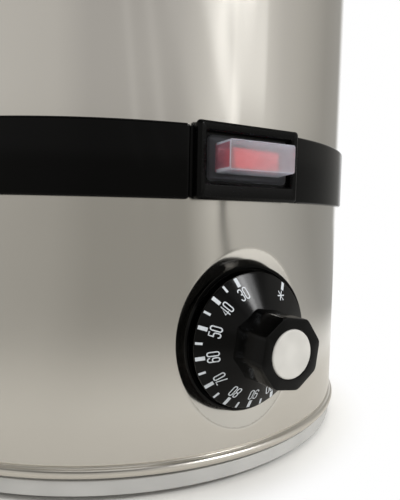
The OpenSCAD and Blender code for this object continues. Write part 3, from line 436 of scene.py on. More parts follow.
# paler, because the eye looks along the walls above and below
MILKY_WALL = silicone("silicone_moulded_milky_wall", "#D4D8E4", 0.18, 0.3)
# a thin sheet over black, nearly lost, its grey tone a painted shade of the recess
MILKY_FLANGE_PAINTED_SHADE = silicone("silicone_moulded_milky_flange_painted_shade", "#9EA0A8", 0.03, 0.02, 0.6)
# wine red: a painted glow, for the red light that the rocker's end scatters into this wall
MILKY_PAINTED_RED_GLOW = silicone("silicone_moulded_milky_painted_red_glow", "#D68C9E", 0.2, 0.2, 0.4)
# white lines
MILKY_EDGE = silicone("silicone_moulded_milky_edge", "#DADDE8", 0.35, 0.45)
print("mixed", len(FINISH), "finishes in all")

# %% [markdown]
# Each solid that keeps its CAD shape takes the finish of its slot. The pieces made further down
# replace some of these solids, which are then hidden from the render.

# %% Give every solid its finish
for row in frame["record"]["subparts"]:
    solid = frame["nodes"][row["node"]]
    for place in solid.material_slots:
        place.material = FINISH[row["material_slot"]]

# %% [markdown]
# A drawing has sharp edges, and a real moulding or casting never does: each edge is a little round
# and draws a fine line of light. Four modifiers give the tap, the handles, the knob and the gland
# such edges without touching their solids: points that meet are welded, flat triangles become whole
# faces, the edges are bevelled, and normals weighted by area keep the broad faces flat.

# %% Soften the edges of the solids that show
EDGES = {
    "handle_left": 1.0, "handle_right": 1.0, "lid_knob": 0.6, "tap_body": 0.5, "tap_bonnet": 0.4,
    "tap_lever": 0.8, "cord_gland": 0.6,
}
MEETING_MM, FLAT, SHARP = 0.005, math.radians(0.1), math.radians(38)
for name, edge_mm in EDGES.items():
    solid = frame["nodes"][name]
    weld = solid.modifiers.new("weld", "WELD")
    weld.merge_threshold = MEETING_MM * MM
    whole = solid.modifiers.new("whole faces", "DECIMATE")
    whole.decimate_type = "DISSOLVE"
    whole.angle_limit = FLAT
    edge = solid.modifiers.new("edge", "BEVEL")
    edge.width = edge_mm * MM
    edge.segments = 3
    edge.limit_method = "ANGLE"
    edge.angle_limit = SHARP
    solid.modifiers.new("even shading", "WEIGHTED_NORMAL")
print("softened", len(EDGES), "solids")

# %% [markdown]
# The tank is a drum of 1 mm sheet with a wired rim: the top edge is rolled outward over a wire so
# that it is stiff and safe to touch. A single path, down the outside, round the roll and back up
# the inside, is spun round the axis.

# %% Tank wall
TANK_R, TANK_LOW, SHEET = 150, 150, 1
RIM_R, RIM_Z, ROLL = 151.2, 385, 2
roll = [(RIM_R + ROLL * math.cos(a), RIM_Z + ROLL * math.sin(a))
        for a in [math.radians(t) for t in range(-110, 181, 15)]]
tank_path = [(TANK_R - SHEET, TANK_LOW), (TANK_R, TANK_LOW), (TANK_R, 260), (TANK_R, RIM_Z - ROLL - 0.5)]
tank_path += roll + [(TANK_R - SHEET, 380), (TANK_R - SHEET, 260)]
piece("tank_wall", turned(tank_path, steps=192), FINISH["satin_steel"],
      stands_for=["tank_shell"])

# %% [markdown]
# The lid is a shallow dome with a flat border, a lip that hangs over the tank's rim and a skirt
# that keeps it in place. Its section is spun in one go, with enough rings for a smooth reflection.
# The rows near the vent are as far apart as the spun steps there, so that the grid has squares for
# the hole.

# %% Section of the lid
LID_Z, LID_TOP, LID_R, DOME_R, LID_STEPS = 387.3, 408.3, 155, 139, 256
DOME_RISE, VENT_R, VENT_AT = 20, 2.5, 97.3
LIP, GUIDE_R, GUIDE = 5, 147.5, 12
DOME_SPHERE = (DOME_R ** 2 + DOME_RISE ** 2) / (2 * DOME_RISE)
VENT_GRID = VENT_AT * 2 * math.pi / LID_STEPS


def dome_z(radius, under=0):
    """Height of the lid's dome at a radius, on top or one sheet under it."""
    return LID_TOP - DOME_SPHERE + math.sqrt((DOME_SPHERE - under) ** 2 - radius ** 2)


rows = [2.8] + list(range(10, 91, 8))
rows += [VENT_AT + VENT_GRID * k for k in range(-2, 3)] + [107, 115, 123, 131]
lid_over = [(r, dome_z(r), 0) for r in rows]
lid_under = [(r, dome_z(r, SHEET), 0) for r in reversed(rows)]
lid_rim = [
    (DOME_R, LID_Z + SHEET, 9), (LID_R, LID_Z + SHEET, 0.9), (LID_R, LID_Z - LIP, 0.3),
    (LID_R - SHEET, LID_Z - LIP, 0.3), (LID_R - SHEET, LID_Z, 0.2), (GUIDE_R, LID_Z, 0.2),
    (GUIDE_R, LID_Z - GUIDE, 0.3), (GUIDE_R - SHEET, LID_Z - GUIDE, 0.3), (GUIDE_R - SHEET, LID_Z, 0),
    (DOME_R - 0.6, LID_Z, 0),
]
lid_path = rounded(lid_over + lid_rim + lid_under, 5)
lid_points, lid_faces = turned(lid_path, steps=LID_STEPS)
print("lid section of", len(lid_path), "points")

# %% [markdown]
# Steam leaves by a round vent behind the knob. A boolean cut would leave long thin triangles that
# disturb the reflection. Here a square of faces is left out of the upper and the lower sheet, and
# strips of quads lead from each square to the circle and through the sheet.

# %% Steam vent
vent_over = rows.index(VENT_AT)
vent_under = len(lid_path) - 1 - vent_over
back = LID_STEPS // 4
gap = {((back + i) % LID_STEPS) * len(lid_path) + row + j
       for i in range(-2, 2) for row in (vent_over, vent_under) for j in range(-2, 2)}
lid_faces = [face for i, face in enumerate(lid_faces) if i not in gap]
square = [(i, -2) for i in range(-2, 2)] + [(2, j) for j in range(-2, 2)]
square += [(-i, -j) for i, j in square]
loops = []
for row, way, under in ((vent_over, 1, 0), (vent_under, -1, SHEET)):
    outer = [(back + i) * len(lid_path) + row + way * j for i, j in square]
    inner = range(len(lid_points), len(lid_points) + len(outer))
    for index in outer:
        reach = (lid_points[index].xy - Vector((0, VENT_AT))).normalized() * VENT_R
        spot = Vector((reach.x, VENT_AT + reach.y))
        lid_points.append(spot.to_3d() + upward * dome_z(spot.length, under))
    loops += [outer, list(inner)]
for first, second in ((loops[0], loops[1]), (loops[1], loops[3]), (loops[3], loops[2])):
    for k in range(len(first)):
        m = (k + 1) % len(first)
        lid_faces.append((first[k], first[m], second[m], second[k]))
piece("lid_dome", (lid_points, lid_faces), FINISH["satin_steel"], "lid", ["lid"])

# %% [markdown]
# The lower shell is the same sheet, pressed in one place into a shallow dish for the dial. The dish
# is deepest above and below the dial and runs out at its sides, which leaves two pale crescents:
# they lean toward the floor and the ceiling and reflect them. The form is a function: the smooth
# minimum of drum and dish at each place. That keeps the soft press radius, which a boolean cut
# would make sharp. The flat seat is hidden under the dial's ring.

# %% Form of the pressed dish
SEAT_D, DISH_R, DISH_SLOPE = 145.8, 43.4, 0.29
STEP_R, DISH_SHIFT, DISH_DROP, DISH_FOLLOWS = 30.6, 3.4, 1.2, 0.5
PRESS_R, GRID = 0.22, 0.6
DISH_SPAN = 49


def soft_min(a, b, blend):
    """The smaller of two values, with a rounded change from one to the other."""
    return min(a, b) - max(blend - abs(a - b), 0) ** 2 / (4 * blend)


def shell_distance(x, z):
    """How far out the lower shell lies at a place on its drum."""
    drum = math.sqrt(TANK_R ** 2 - x ** 2)
    if math.hypot(x, z - DIAL_Z) < STEP_R:
        return min(drum, SEAT_D)
    radius = math.hypot(x - DISH_SHIFT, z - DIAL_Z + DISH_DROP)
    bottom = TANK_R - DISH_FOLLOWS * (TANK_R - drum)
    return soft_min(drum, bottom - DISH_SLOPE * (DISH_R - radius), PRESS_R)


def steps_between(low, high, size):
    """Evenly spaced values from low to high, about so far apart."""
    count = max(1, round((high - low) / size))
    return [low + (high - low) * k / count for k in range(count + 1)]


print("dish", 2 * DISH_R, "mm across, pressed into a drum", 2 * TANK_R, "mm wide")

# %% [markdown]
# The shell's grid runs over angle and height, fine where the dish is and coarse elsewhere. The
# lowest rows draw in to a small groove and turn out into the rolled bead. The dish takes a brighter
# tone than the drum, a painted highlight that makes its reflected crescents paler, and the rollers
# left the bead duller, so the faces there take finishes of their own. A modifier gives the sheet its
# thickness.

# %% Lower shell with its bead
dish_edge = math.asin(DISH_SPAN / TANK_R)
around = steps_between(-dish_edge, dish_edge, GRID / TANK_R)
around += steps_between(dish_edge, 2 * math.pi - dish_edge, math.radians(2.5))[1:-1]
upright = [148, 147.4] + steps_between(146, DIAL_Z + DISH_SPAN, -8)
upright += steps_between(DIAL_Z + DISH_SPAN, DIAL_Z - DISH_SPAN, -GRID)[1:]
bead_path = rounded([
    (TANK_R, 17.4, 0), (TANK_R, 16.9, 0.4), (149.5, 16.1, 0.3), (150.3, 15.6, 0.3), (152.1, 15.5, 1.9),
    (152.1, 11.4, 2.0), (136, 11.4, 0),
], 8)
FACING = 0.9
shell_rows = []
for z in upright:
    row = []
    for a in around:
        x, plain = TANK_R * math.sin(a), TANK_R * math.cos(a)
        row.append((x, z, shell_distance(x, z) if math.cos(a) > FACING else plain))
    shell_rows.append(row)
for r, z in bead_path:
    shell_rows.append([(r * math.sin(a), z, r * math.cos(a)) for a in around])
shell_rows = [[rightward * x + upward * z + outward * d for x, z, d in row] for row in shell_rows]
lower_shell = piece("lower_shell", skin(shell_rows, caps=False), FINISH["satin_steel"],
                    stands_for=["base_shell"], sharp=60)
ON_DISH, ON_BEAD = 1, 2
# painted highlight: the dish's faces take a brighter tone than the drum; the bead takes the duller rolled
# finish
for finish in (DISH_PAINTED_HIGHLIGHT, ROLLED):
    lower_shell.data.materials.append(finish)
for face in lower_shell.data.polygons:
    middle = face.center / MM
    beside_dial = middle.dot(outward) > 0 and abs(middle.z - DIAL_Z) < DISH_SPAN
    if beside_dial and middle.xy.length < TANK_R - 0.25:
        face.material_index = ON_DISH
    elif middle.z < bead_path[0][1]:
        face.material_index = ON_BEAD
painted_highlight = sum(face.material_index == ON_DISH for face in lower_shell.data.polygons)
print("painted_highlight", painted_highlight, "faces of the dish")
sheet = lower_shell.modifiers.new("sheet thickness", "SOLIDIFY")
sheet.thickness = SHEET * MM
sheet.offset = -1

# %% [markdown]
# The skirt ring under the bead is grey plastic. It hides the edge of the bottom plate and keeps the
# hot shell off the table. Its section is a plain bar with one small ledge inside, spun like the
# tank. It stands back from the bead and stops short of it, which leaves a thin dark seam.

# %% Skirt ring
SKIRT_R, SKIRT_IN, SKIRT_TOP = 149.9, 147.2, 10.1
skirt_path = rounded([
    (SKIRT_R, 3, 0.8), (SKIRT_R, SKIRT_TOP, 0.4), (SKIRT_IN, SKIRT_TOP, 0), (SKIRT_IN, 11.4, 0),
    (137, 11.4, 0), (137, 8.4, 0), (SKIRT_IN, 8.4, 0), (SKIRT_IN, 3, 0.5),
])
piece("skirt_ring", turned(skirt_path, steps=192), FINISH["grey_plastic"],
      stands_for=["base_skirt"])

# %% [markdown]
# The waist band hides the joint between tank and lower shell. It is a strip of glossy black plastic
# that starts and ends beside the switch housing, where its corners are rounded. Nested outlines,
# each smaller and further out, give the rounded edge. The top and bottom points of an outline share
# their places round the drum, so straight strips can close the broad face without a stretched
# polygon.

# %% Waist band
BAND_LOW, BAND_HIGH, BAND_BACK, BAND_FRONT = 132.9, 165.3, 150.1, 152.6
BAND_EDGE, BAND_CORNER, BAND_GAP = 1.2, 2, math.radians(11.34)


def band_outline(inset, radius):
    """One outline of the band, wrapped round the drum at a radius."""
    start = BAND_GAP * TANK_R + inset
    end = 2 * math.pi * TANK_R - start
    corner = BAND_CORNER - inset
    curve = [math.radians(90) * k / 6 for k in range(7)]
    places = [(start + corner * (1 - math.cos(t)), corner * (1 - math.sin(t))) for t in curve]
    places += [(s, 0) for s in steps_between(start + corner, end - corner, 5)[1:-1]]
    places += [(end - corner * (1 - math.cos(t)), corner * (1 - math.sin(t))) for t in reversed(curve)]
    top = [(s, BAND_HIGH - inset - drop) for s, drop in places]
    bottom = [(s, BAND_LOW + inset + drop) for s, drop in places]
    ring = []
    for s, z in top + bottom[::-1]:
        a = s / TANK_R
        ring.append(rightward * radius * math.sin(a) + outward * radius * math.cos(a) + upward * z)
    return ring


band_rings = [band_outline(0, BAND_BACK)]
for k in range(6):
    t = math.radians(18 * k)
    inset, drop = BAND_EDGE * (1 - math.cos(t)), BAND_EDGE * (1 - math.sin(t))
    band_rings.append(band_outline(inset, BAND_FRONT - drop))
band_points, band_faces = skin(band_rings, caps=False)
ring_size = len(band_rings[0])
for first in (0, len(band_points) - ring_size):
    for i in range(ring_size // 2 - 1):
        j = ring_size - 1 - i
        band_faces.append((first + i, first + i + 1, first + j - 1, first + j))
piece("band", (band_points, band_faces), FINISH["gloss_black"],
      stands_for=["waist_band"])

# %% [markdown]
# The switch housing is a moulded frame that closes the band. It is a loft of rounded rectangles: up
# the outside, over a bevelled edge, across the narrow face, over a second bevel and down into the
# recess. The bevels are what catches the light on black plastic, so they are real faces and not
# only shading. Its back follows the drum, and a thin lip at each side fills the groove to the band.

# %% Switch housing
HOUSING_W, HOUSING_LOW, HOUSING_HIGH, HOUSING_FRONT = 57, 132.9, 166.9, 153.5
HOUSING_CORNER = 1.8
OPENING_W, OPENING_H, RECESS_D = 48.5, 22.2, 150.3


def box_ring(width, low, high, corner, distance, steps=5, lift=0.2):
    """A rounded rectangle at the controls, at one distance or lifted a little off the drum."""
    half = width / 2
    corners = [(-half, low), (half, low), (half, high), (-half, high)]
    path = rounded([(x, z, corner) for x, z in corners], steps)
    ring = []
    for x, z in path:
        d = distance if distance else math.sqrt(TANK_R ** 2 - x ** 2) + lift
        ring.append(rightward * x + upward * z + outward * d)
    return ring


def frame_ring(inset, distance):
    """An outline of the housing's outside."""
    width, corner = HOUSING_W - 2 * inset, HOUSING_CORNER - inset / 2
    return box_ring(width, HOUSING_LOW + inset, HOUSING_HIGH - inset, corner, distance)


def opening_ring(inset, distance):
    """An outline of the housing's recess."""
    half = OPENING_H / 2 - inset
    return box_ring(OPENING_W - 2 * inset, SWITCH_Z - half, SWITCH_Z + half, 0.9, distance)


LIP_W, LIP_LOW, LIP_HIGH = HOUSING_W + 2.2, HOUSING_LOW + 0.6, BAND_HIGH - 0.6
housing_rings = [
    box_ring(LIP_W, LIP_LOW, LIP_HIGH, 1.2, None),
    box_ring(LIP_W, LIP_LOW, LIP_HIGH, 1.2, None, lift=1.2),
    box_ring(HOUSING_W, HOUSING_LOW + 0.2, LIP_HIGH + 0.2, HOUSING_CORNER, None, lift=1.3),
    frame_ring(0, 151.2), frame_ring(0, 151.9), frame_ring(0.12, 152.4), frame_ring(1.1, 153.3),
    frame_ring(1.5, HOUSING_FRONT), opening_ring(-1.0, HOUSING_FRONT), opening_ring(-0.75, 153.42),
    opening_ring(-0.1, 152.7), opening_ring(0, 152.4), opening_ring(0, RECESS_D),
    box_ring(42.4, SWITCH_Z - 8.6, SWITCH_Z + 8.6, 0.5, RECESS_D),
    box_ring(42.4, SWITCH_Z - 8.6, SWITCH_Z + 8.6, 0.5, 146),
    box_ring(51, SWITCH_Z - 12.6, SWITCH_Z + 12.6, 0.9, 146),
]
piece("housing", skin(housing_rings, wrap=True), FINISH["black_housing"],
      stands_for=["switch_housing"], sharp=25)

# %% [markdown]
# The rocker is a red bar that tips about a pin. At rest its left end stands out. Its face is dished
# in the middle for a fingertip. It is a side outline with rounded corners, lofted across its width
# with a smaller outline at each side, so that its long edges are rounded as well.

# %% Rocker
ROCKER_W, ROCKER_H, PIVOT_D, TILT = 31, 9, 149, math.radians(12)


def rocker_ring(z, inset):
    """The rocker's side outline at one height, drawn in from its edges."""
    half = ROCKER_W / 2 - inset
    path = rounded([
        (-half, 6.6 - inset, 0.8), (-half / 2, 5.5 - inset, 8), (0, 5.0 - inset, 9),
        (half / 2, 5.5 - inset, 8), (half, 6.6 - inset, 0.8), (half - 1.9, -1 + inset, 0.8),
        (half / 3, -4 + inset, 1), (-half / 3, -4 + inset, 1), (1.9 - half, -1 + inset, 0.8),
    ], 4)
    turn = cmath.exp(-1j * TILT)
    ring = []
    for x, d in path:
        spot = complex(x, d) * turn
        ring.append(rightward * spot.real + outward * (PIVOT_D + spot.imag) + upward * (SWITCH_Z + z))
    return ring


half_h = ROCKER_H / 2
rocker_rings = [rocker_ring(-half_h, 0.6), rocker_ring(-half_h + 0.18, 0.18), rocker_ring(-half_h + 0.6, 0)]
rocker_rings += [rocker_ring(half_h - 0.6, 0), rocker_ring(half_h - 0.18, 0.18), rocker_ring(half_h, 0.6)]
piece("rocker_key", skin(rocker_rings), FINISH["red_rocker"], "rocker", ["rocker"])

# %% [markdown]
# The splash cover is a boot with a thin flange that lies on the recess floor. Outside and inside
# are one closed skin, so that light really crosses two surfaces of each wall. The moulding is soft:
# it leans up a little toward its front, and each ring leans by its share.

# %% Splash cover
COVER_W, COVER_H, COVER_TOP, COVER_WALL = 37.6, 13.2, 162, 0.8
FLANGE_W, FLANGE_H, FLANGE_TOP = 44.6, 20, 151.5
TWIST, LEAN = math.radians(0.2), 1.0


def cover_ring(width, height, corner, distance):
    """A rounded rectangle of the cover, twisted and leaning a little toward its front."""
    share = max(0, distance - FLANGE_TOP) / (COVER_TOP - FLANGE_TOP)
    ring = []
    for point in box_ring(width, -height / 2, height / 2, corner, distance, 4):
        spot = complex(point.dot(rightward), point.z) * cmath.exp(1j * TWIST * share)
        up = SWITCH_Z + spot.imag + LEAN * share
        ring.append(rightward * spot.real + upward * up + outward * distance)
    return ring


outside = [
    (FLANGE_W, FLANGE_H, 2, RECESS_D), (FLANGE_W, FLANGE_H, 2, FLANGE_TOP - 0.25),
    (FLANGE_W - 0.5, FLANGE_H - 0.5, 1.75, FLANGE_TOP), (COVER_W + 0.8, COVER_H + 0.8, 1.6, FLANGE_TOP),
    (COVER_W + 0.15, COVER_H + 0.15, 1.5, FLANGE_TOP + 0.25), (COVER_W, COVER_H, 1.4, FLANGE_TOP + 0.8),
    (COVER_W - 1.0, COVER_H - 0.2, 1.2, COVER_TOP - 0.45),
    (COVER_W - 1.2, COVER_H - 0.4, 1.1, COVER_TOP - 0.1),
    (COVER_W - 1.8, COVER_H - 1.0, 0.9, COVER_TOP),
]
inside = [
    (COVER_W - 2.8, COVER_H - 1.7, 0.5, COVER_TOP - COVER_WALL),
    (COVER_W - 2.2, COVER_H - 1.3, 0.6, COVER_TOP - COVER_WALL - 0.4),
    (COVER_W - 1.5, COVER_H - 1.2, 0.8, RECESS_D),
]
outer_points, outer_faces = skin([cover_ring(*row) for row in outside], caps=False)
inner_points, inner_faces = skin([cover_ring(*row) for row in inside], caps=False)
per_ring = len(cover_ring(*outside[0]))
cover_points, cover_faces = together((outer_points, outer_faces), (inner_points, inner_faces))
last_out, last_in = len(outer_points) - per_ring, len(outer_points)
cover_faces.append(tuple(range(last_out, last_out + per_ring)))
cover_faces.append(tuple(range(last_in, last_in + per_ring)))
foot = len(cover_points) - per_ring
for i in range(per_ring):
    j = (i + 1) % per_ring
    cover_faces.append((i, j, foot + j, foot + i))
cover = piece("splash_boot", (cover_points, cover_faces), FINISH["milky_silicone"],
              stands_for=["splash_cover"], sharp=50)

# %% [markdown]
# The cover's faces take their mix by place. Its rounded edges are the whitest, the flange nearly
# vanishes over the black recess, its grey tone a painted shade of the recess, the walls above and
# below are paler than the front, and the left side is tinted wine red, a painted glow of the
# rocker's end close behind it.

# %% Mixes of the splash cover
ON_FRONT, ON_WALL, ON_EDGE, ON_FLANGE, ON_RED_GLOW_SIDE = range(5)
CORNER_AREA = 9e-6
for mix in (MILKY_WALL, MILKY_EDGE, MILKY_FLANGE_PAINTED_SHADE, MILKY_PAINTED_RED_GLOW):
    cover.data.materials.append(mix)
for face in cover.data.polygons:
    d = (face.center / MM).dot(outward)
    on_front_edge = COVER_TOP - 0.5 < d < COVER_TOP - 0.02
    on_corner = face.area < CORNER_AREA and FLANGE_TOP + 0.8 < d < COVER_TOP - 0.02
    if on_front_edge or on_corner:
        face.material_index = ON_EDGE
    # the flange takes the grey tone of painted shade
    elif d < FLANGE_TOP + 0.2:
        face.material_index = ON_FLANGE
    elif abs(face.normal.z) > 0.7:
        face.material_index = ON_WALL
    # the left side takes the painted red glow of the rocker's end
    elif face.normal.dot(rightward) < -0.7:
        face.material_index = ON_RED_GLOW_SIDE
    else:
        face.material_index = ON_FRONT
print("whitened", sum(face.material_index == ON_EDGE for face in cover.data.polygons), "edge faces")

# %% [markdown]
# The dial turns inside a glossy black ring that sits in the dish. The ring widens from a narrow
# foot to a rounded lip, turns over and falls toward the dial, so its reflections form thin arcs. It
# is one spun path, set a little to the right of the dial as on the real urn. At its sides the drum
# falls away under it, so its lowest points follow the steel.

# %% Dial ring
RING_R, RING_FOOT, RING_IN, RING_TOP = 34.8, 30.9, 30.4, 152.3
RING_SHIFT = Vector((1.9, -0.3, 0))
ring_path = rounded([
    (RING_FOOT, SEAT_D, 0), (RING_R, RING_TOP - 1, 1.6), (33.2, RING_TOP + 0.5, 1.5),
    (RING_IN, 148.6, 0.8), (RING_IN, 147.3, 0.4), (9.5, 147.3, 0), (9.5, SEAT_D, 0),
], 8)
ring_points, ring_faces = turned(ring_path, steps=144)
for point in ring_points:
    if point.xy.length > RING_IN:
        point += RING_SHIFT
    if point.z < SEAT_D + 0.01:
        point.z = min(point.z, math.sqrt(TANK_R ** 2 - point.x ** 2))
piece("dial_bezel", ([at_dial @ point for point in ring_points], ring_faces), FINISH["gloss_black"],
      stands_for=["dial_ring"])

# %% [markdown]
# The dial is pressed from phenolic: a broad cone that carries the marks, and an eight-sided grip.
# The cone is spun. The grip is a loft of octagons with softened corners, a little wider at its foot
# and bevelled at its front, that goes on down into the round pocket of the cap. Every ring has the
# same number of points, so octagon and circle join without a seam.

# %% Cone of the dial
DIAL_R, RIM_D, RIM_BACK = 31.3, 157.2, 156.4
GRIP_R, CONE_TOP, GRIP_FRONT, GRIP_TURN = 16.5, 165.6, 183.9, math.radians(13.5)
FOOT_R = GRIP_R * math.cos(math.radians(22.5))
CAP_R = 10.5


def cone_height(radius):
    """How far out the dial's cone lies at a radius."""
    return RIM_D + (DIAL_R - radius) / (DIAL_R - FOOT_R) * (CONE_TOP - RIM_D)


cone_path = rounded([
    (8, 150.3, 0.4), (8, 161.4, 1.5), (30.2, RIM_BACK, 0.2), (DIAL_R, RIM_BACK, 0.3), (DIAL_R, RIM_D, 0.35),
    (30.4, cone_height(30.4), 0), (FOOT_R + 0.8, cone_height(FOOT_R + 0.8), 0),
    (FOOT_R, CONE_TOP, 0), (9, CONE_TOP, 0), (3.1, CONE_TOP, 0), (3.1, 150.3, 0),
], 5)


print("cone", round(math.degrees(math.atan2(CONE_TOP - RIM_D, DIAL_R - FOOT_R)), 1), "degrees steep")

# %% [markdown]
# The octagon's outline is a function of the angle: a flat side lies at its distance over a cosine,
# and a smooth minimum with a circle takes the sharp tip off each corner. The cap is spun with a
# slightly crowned face and pressed into the grip.

# %% Grip and cap
GRIP_STEPS, CORNER_CUT, CORNER_BLEND = 160, 0.3, 0.4


def grip_ring(radius, distance, eight_sided=True):
    """An octagon of the grip with softened corners, or a circle of the same points."""
    ring = []
    for k in range(GRIP_STEPS):
        t = 2 * math.pi * k / GRIP_STEPS
        reach = radius
        if eight_sided:
            off_middle = (t - GRIP_TURN) % (math.pi / 4) - math.pi / 8
            side = radius * math.cos(math.pi / 8) / math.cos(off_middle)
            reach = soft_min(side, radius - CORNER_CUT, CORNER_BLEND)
        ring.append(at_dial @ Vector((reach * math.cos(t), reach * math.sin(t), distance)))
    return ring


grip_rings = [
    grip_ring(GRIP_R + 0.4, 162.5), grip_ring(GRIP_R + 0.4, 165.3), grip_ring(GRIP_R + 0.15, 166.4),
    grip_ring(GRIP_R, 169), grip_ring(GRIP_R - 0.1, GRIP_FRONT - 0.6),
    grip_ring(GRIP_R - 0.25, GRIP_FRONT - 0.18), grip_ring(GRIP_R - 0.65, GRIP_FRONT),
    grip_ring(CAP_R + 0.35, GRIP_FRONT, False), grip_ring(CAP_R + 0.1, GRIP_FRONT - 0.3, False),
    grip_ring(CAP_R + 0.1, GRIP_FRONT - 2.9, False),
]
dial_mesh = together(turned(cone_path, at_dial, 144), skin(grip_rings))
piece("dial", dial_mesh, FINISH["black_phenolic"], "dial", ["dial_knob"], sharp=28)
cap_low, cap_high = GRIP_FRONT - 2.7, GRIP_FRONT + 0.4
cap_path = rounded([
    (0, cap_low, 0), (CAP_R, cap_low, 0), (CAP_R, cap_high - 0.05, 0.8), (7, cap_high, 6), (0, cap_high, 0),
], 6)
cap_mesh = turned(cap_path, at_dial, 96, closed=False)
piece("grip_cap", cap_mesh, FINISH["white_cap"], "dial", ["dial_cap"])

# %% [markdown]
# The dial carries narrow figures, drawn by a few strokes with rounded corners. Each stroke is a
# list of corners with their radius, so that one rule rounds them all. A nine is a six turned by
# half a turn.

# %% Figures
FIGURE_W, FIGURE_H = 1.75, 5.3
w, h, r = FIGURE_W, FIGURE_H, FIGURE_W / 2
SIX = [
    [(0, 1.6, 0), (0, 0, r), (w, 0, r), (w, 3.2, r), (0, 3.2, r), (0, 1.6, 0)],
    [(0, 1.6, 0), (0, h, r), (w, h, r), (w, 4.2, 0)],
]
FIGURES = {
    "0": [[(0, h / 2, 0), (0, 0, r), (w, 0, r), (w, h, r), (0, h, r), (0, h / 2, 0)]],
    "1": [[(0.3, 4.3, 0), (1.1, h, 0), (1.1, 0, 0)]],
    "3": [[(0, 4.2, 0), (0, h, r), (w, h, r), (w, 2.8, 0.8), (0.7, 2.8, 0)],
          [(0.7, 2.8, 0), (w, 2.8, 0.8), (w, 0, r), (0, 0, r), (0, 1.1, 0)]],
    "4": [[(1.35, 0, 0), (1.35, h, 0), (0, 1.4, 0), (w + 0.2, 1.4, 0)]],
    "5": [[(w, h, 0), (0.15, h, 0), (0.05, 2.7, 0), (0.3, 3.2, 0.4), (w, 3.2, r), (w, 0, r), (0, 0, r),
           (0, 1.1, 0)]],
    "6": SIX,
    "7": [[(0, h, 0), (w, h, 0), (0.5, 0, 0)]],
    "8": [[(0, 1.4, 0), (0, 0, r), (w, 0, r), (w, 2.7, 0.8), (0, 2.7, 0.8), (0, 1.4, 0)],
          [(0.05, 4, 0), (0.05, 2.7, 0.8), (w - 0.05, 2.7, 0.8), (w - 0.05, h, 0.82), (0.05, h, 0.82),
           (0.05, 4, 0)]],
    "9": [[(w - x, h - y, corner) for x, y, corner in stroke] for stroke in SIX],
}


print("drawn", len(FIGURES), "figures")

# %% [markdown]
# Ink has almost no thickness, but ribbons that stand 0.06 mm proud survive in the exported mesh,
# where a painted texture would need an image. A ribbon follows its stroke and is laid on the cone
# point by point.

# %% Ribbons of ink
PROUD, SUNK, SAME_SPOT = 0.06, 0.04, 0.02


def on_cone(angle, across, radius, lift):
    """A place on the cone: an angle from the top, a step clockwise and a radius."""
    x = -math.sin(angle) * radius + math.cos(angle) * across
    y = math.cos(angle) * radius + math.sin(angle) * across
    return at_dial @ Vector((x, y, cone_height(math.hypot(x, y)) + lift))


def ribbon(angle, path, width):
    """A printed stroke along a path of (across, radius) points."""
    spots = [complex(*path[0])]
    for place in path[1:]:
        if abs(complex(*place) - spots[-1]) > SAME_SPOT:
            spots.append(complex(*place))
    looped = abs(spots[0] - spots[-1]) < SAME_SPOT
    if looped:
        spots.pop()
    rings = []
    for i, spot in enumerate(spots):
        before = spots[i - 1] if looped or i else spot
        after = spots[(i + 1) % len(spots)] if looped or i < len(spots) - 1 else spot
        ahead = (after - before) / abs(after - before)
        side = 1j * ahead * width / 2
        edges = [(spot + side, PROUD), (spot - side, PROUD), (spot - side, -SUNK), (spot + side, -SUNK)]
        rings.append([on_cone(angle, e.real, e.imag, lift) for e, lift in edges])
    return skin(rings, wrap=looped)


print("ribbons stand", PROUD, "mm proud")

# %% [markdown]
# The marks are pad-printed at even steps: a long stroke and a number every ten degrees, a short
# stroke between them, and a long stroke with a small star at the off position.

# %% Printed marks
STROKE, FIGURE_FOOT, FIGURE_SHARE, PITCH = 0.5, 21.65, 0.887, FIGURE_W + 0.85
COOLEST, FIRST_MARK, MARK_STEP, MARK_OUT = 30, 20.5, 2.611, DIAL_R - 0.3
LONG_MARK, SHORT_MARK = (4.1, 1.7), (3.2, 1.05)
marks = []
for degrees in range(COOLEST, 115, 5):
    angle = math.radians(FIRST_MARK + MARK_STEP * (degrees - COOLEST))
    length, width = LONG_MARK if degrees % 10 == 0 else SHORT_MARK
    marks.append(ribbon(angle, [(0, MARK_OUT), (0, DIAL_R - length)], width))
    if degrees % 10 == 0:
        figures = str(degrees)
        for i, figure in enumerate(figures):
            shift = (i - (len(figures) - 1) / 2) * PITCH - FIGURE_W / 2
            for stroke in FIGURES[figure]:
                path = [(x + shift, FIGURE_FOOT + y * FIGURE_SHARE) for x, y in rounded(stroke, 4)]
                marks.append(ribbon(angle, path, STROKE))
off_angle, star_middle, STAR_R = math.radians(-34), complex(-0.4, 24.3), 2.4
marks.append(ribbon(off_angle, [(0, MARK_OUT), (0, DIAL_R - LONG_MARK[0])], LONG_MARK[1]))
for k in range(3):
    spoke = cmath.rect(STAR_R, math.radians(90 + 60 * k))
    ends = [star_middle + spoke, star_middle - spoke]
    marks.append(ribbon(off_angle, [(e.real, e.imag) for e in ends], STROKE))
piece("dial_marks", together(*marks), INK, "dial", sharp=60)

# %% [markdown]
# Inside the tap a coil spring presses the valve cup onto its seat. When the lever is pulled, the
# stem rises and the spring shortens, so a stiff copy would run through the cup. The wire is a small
# ring of points carried up a helix.

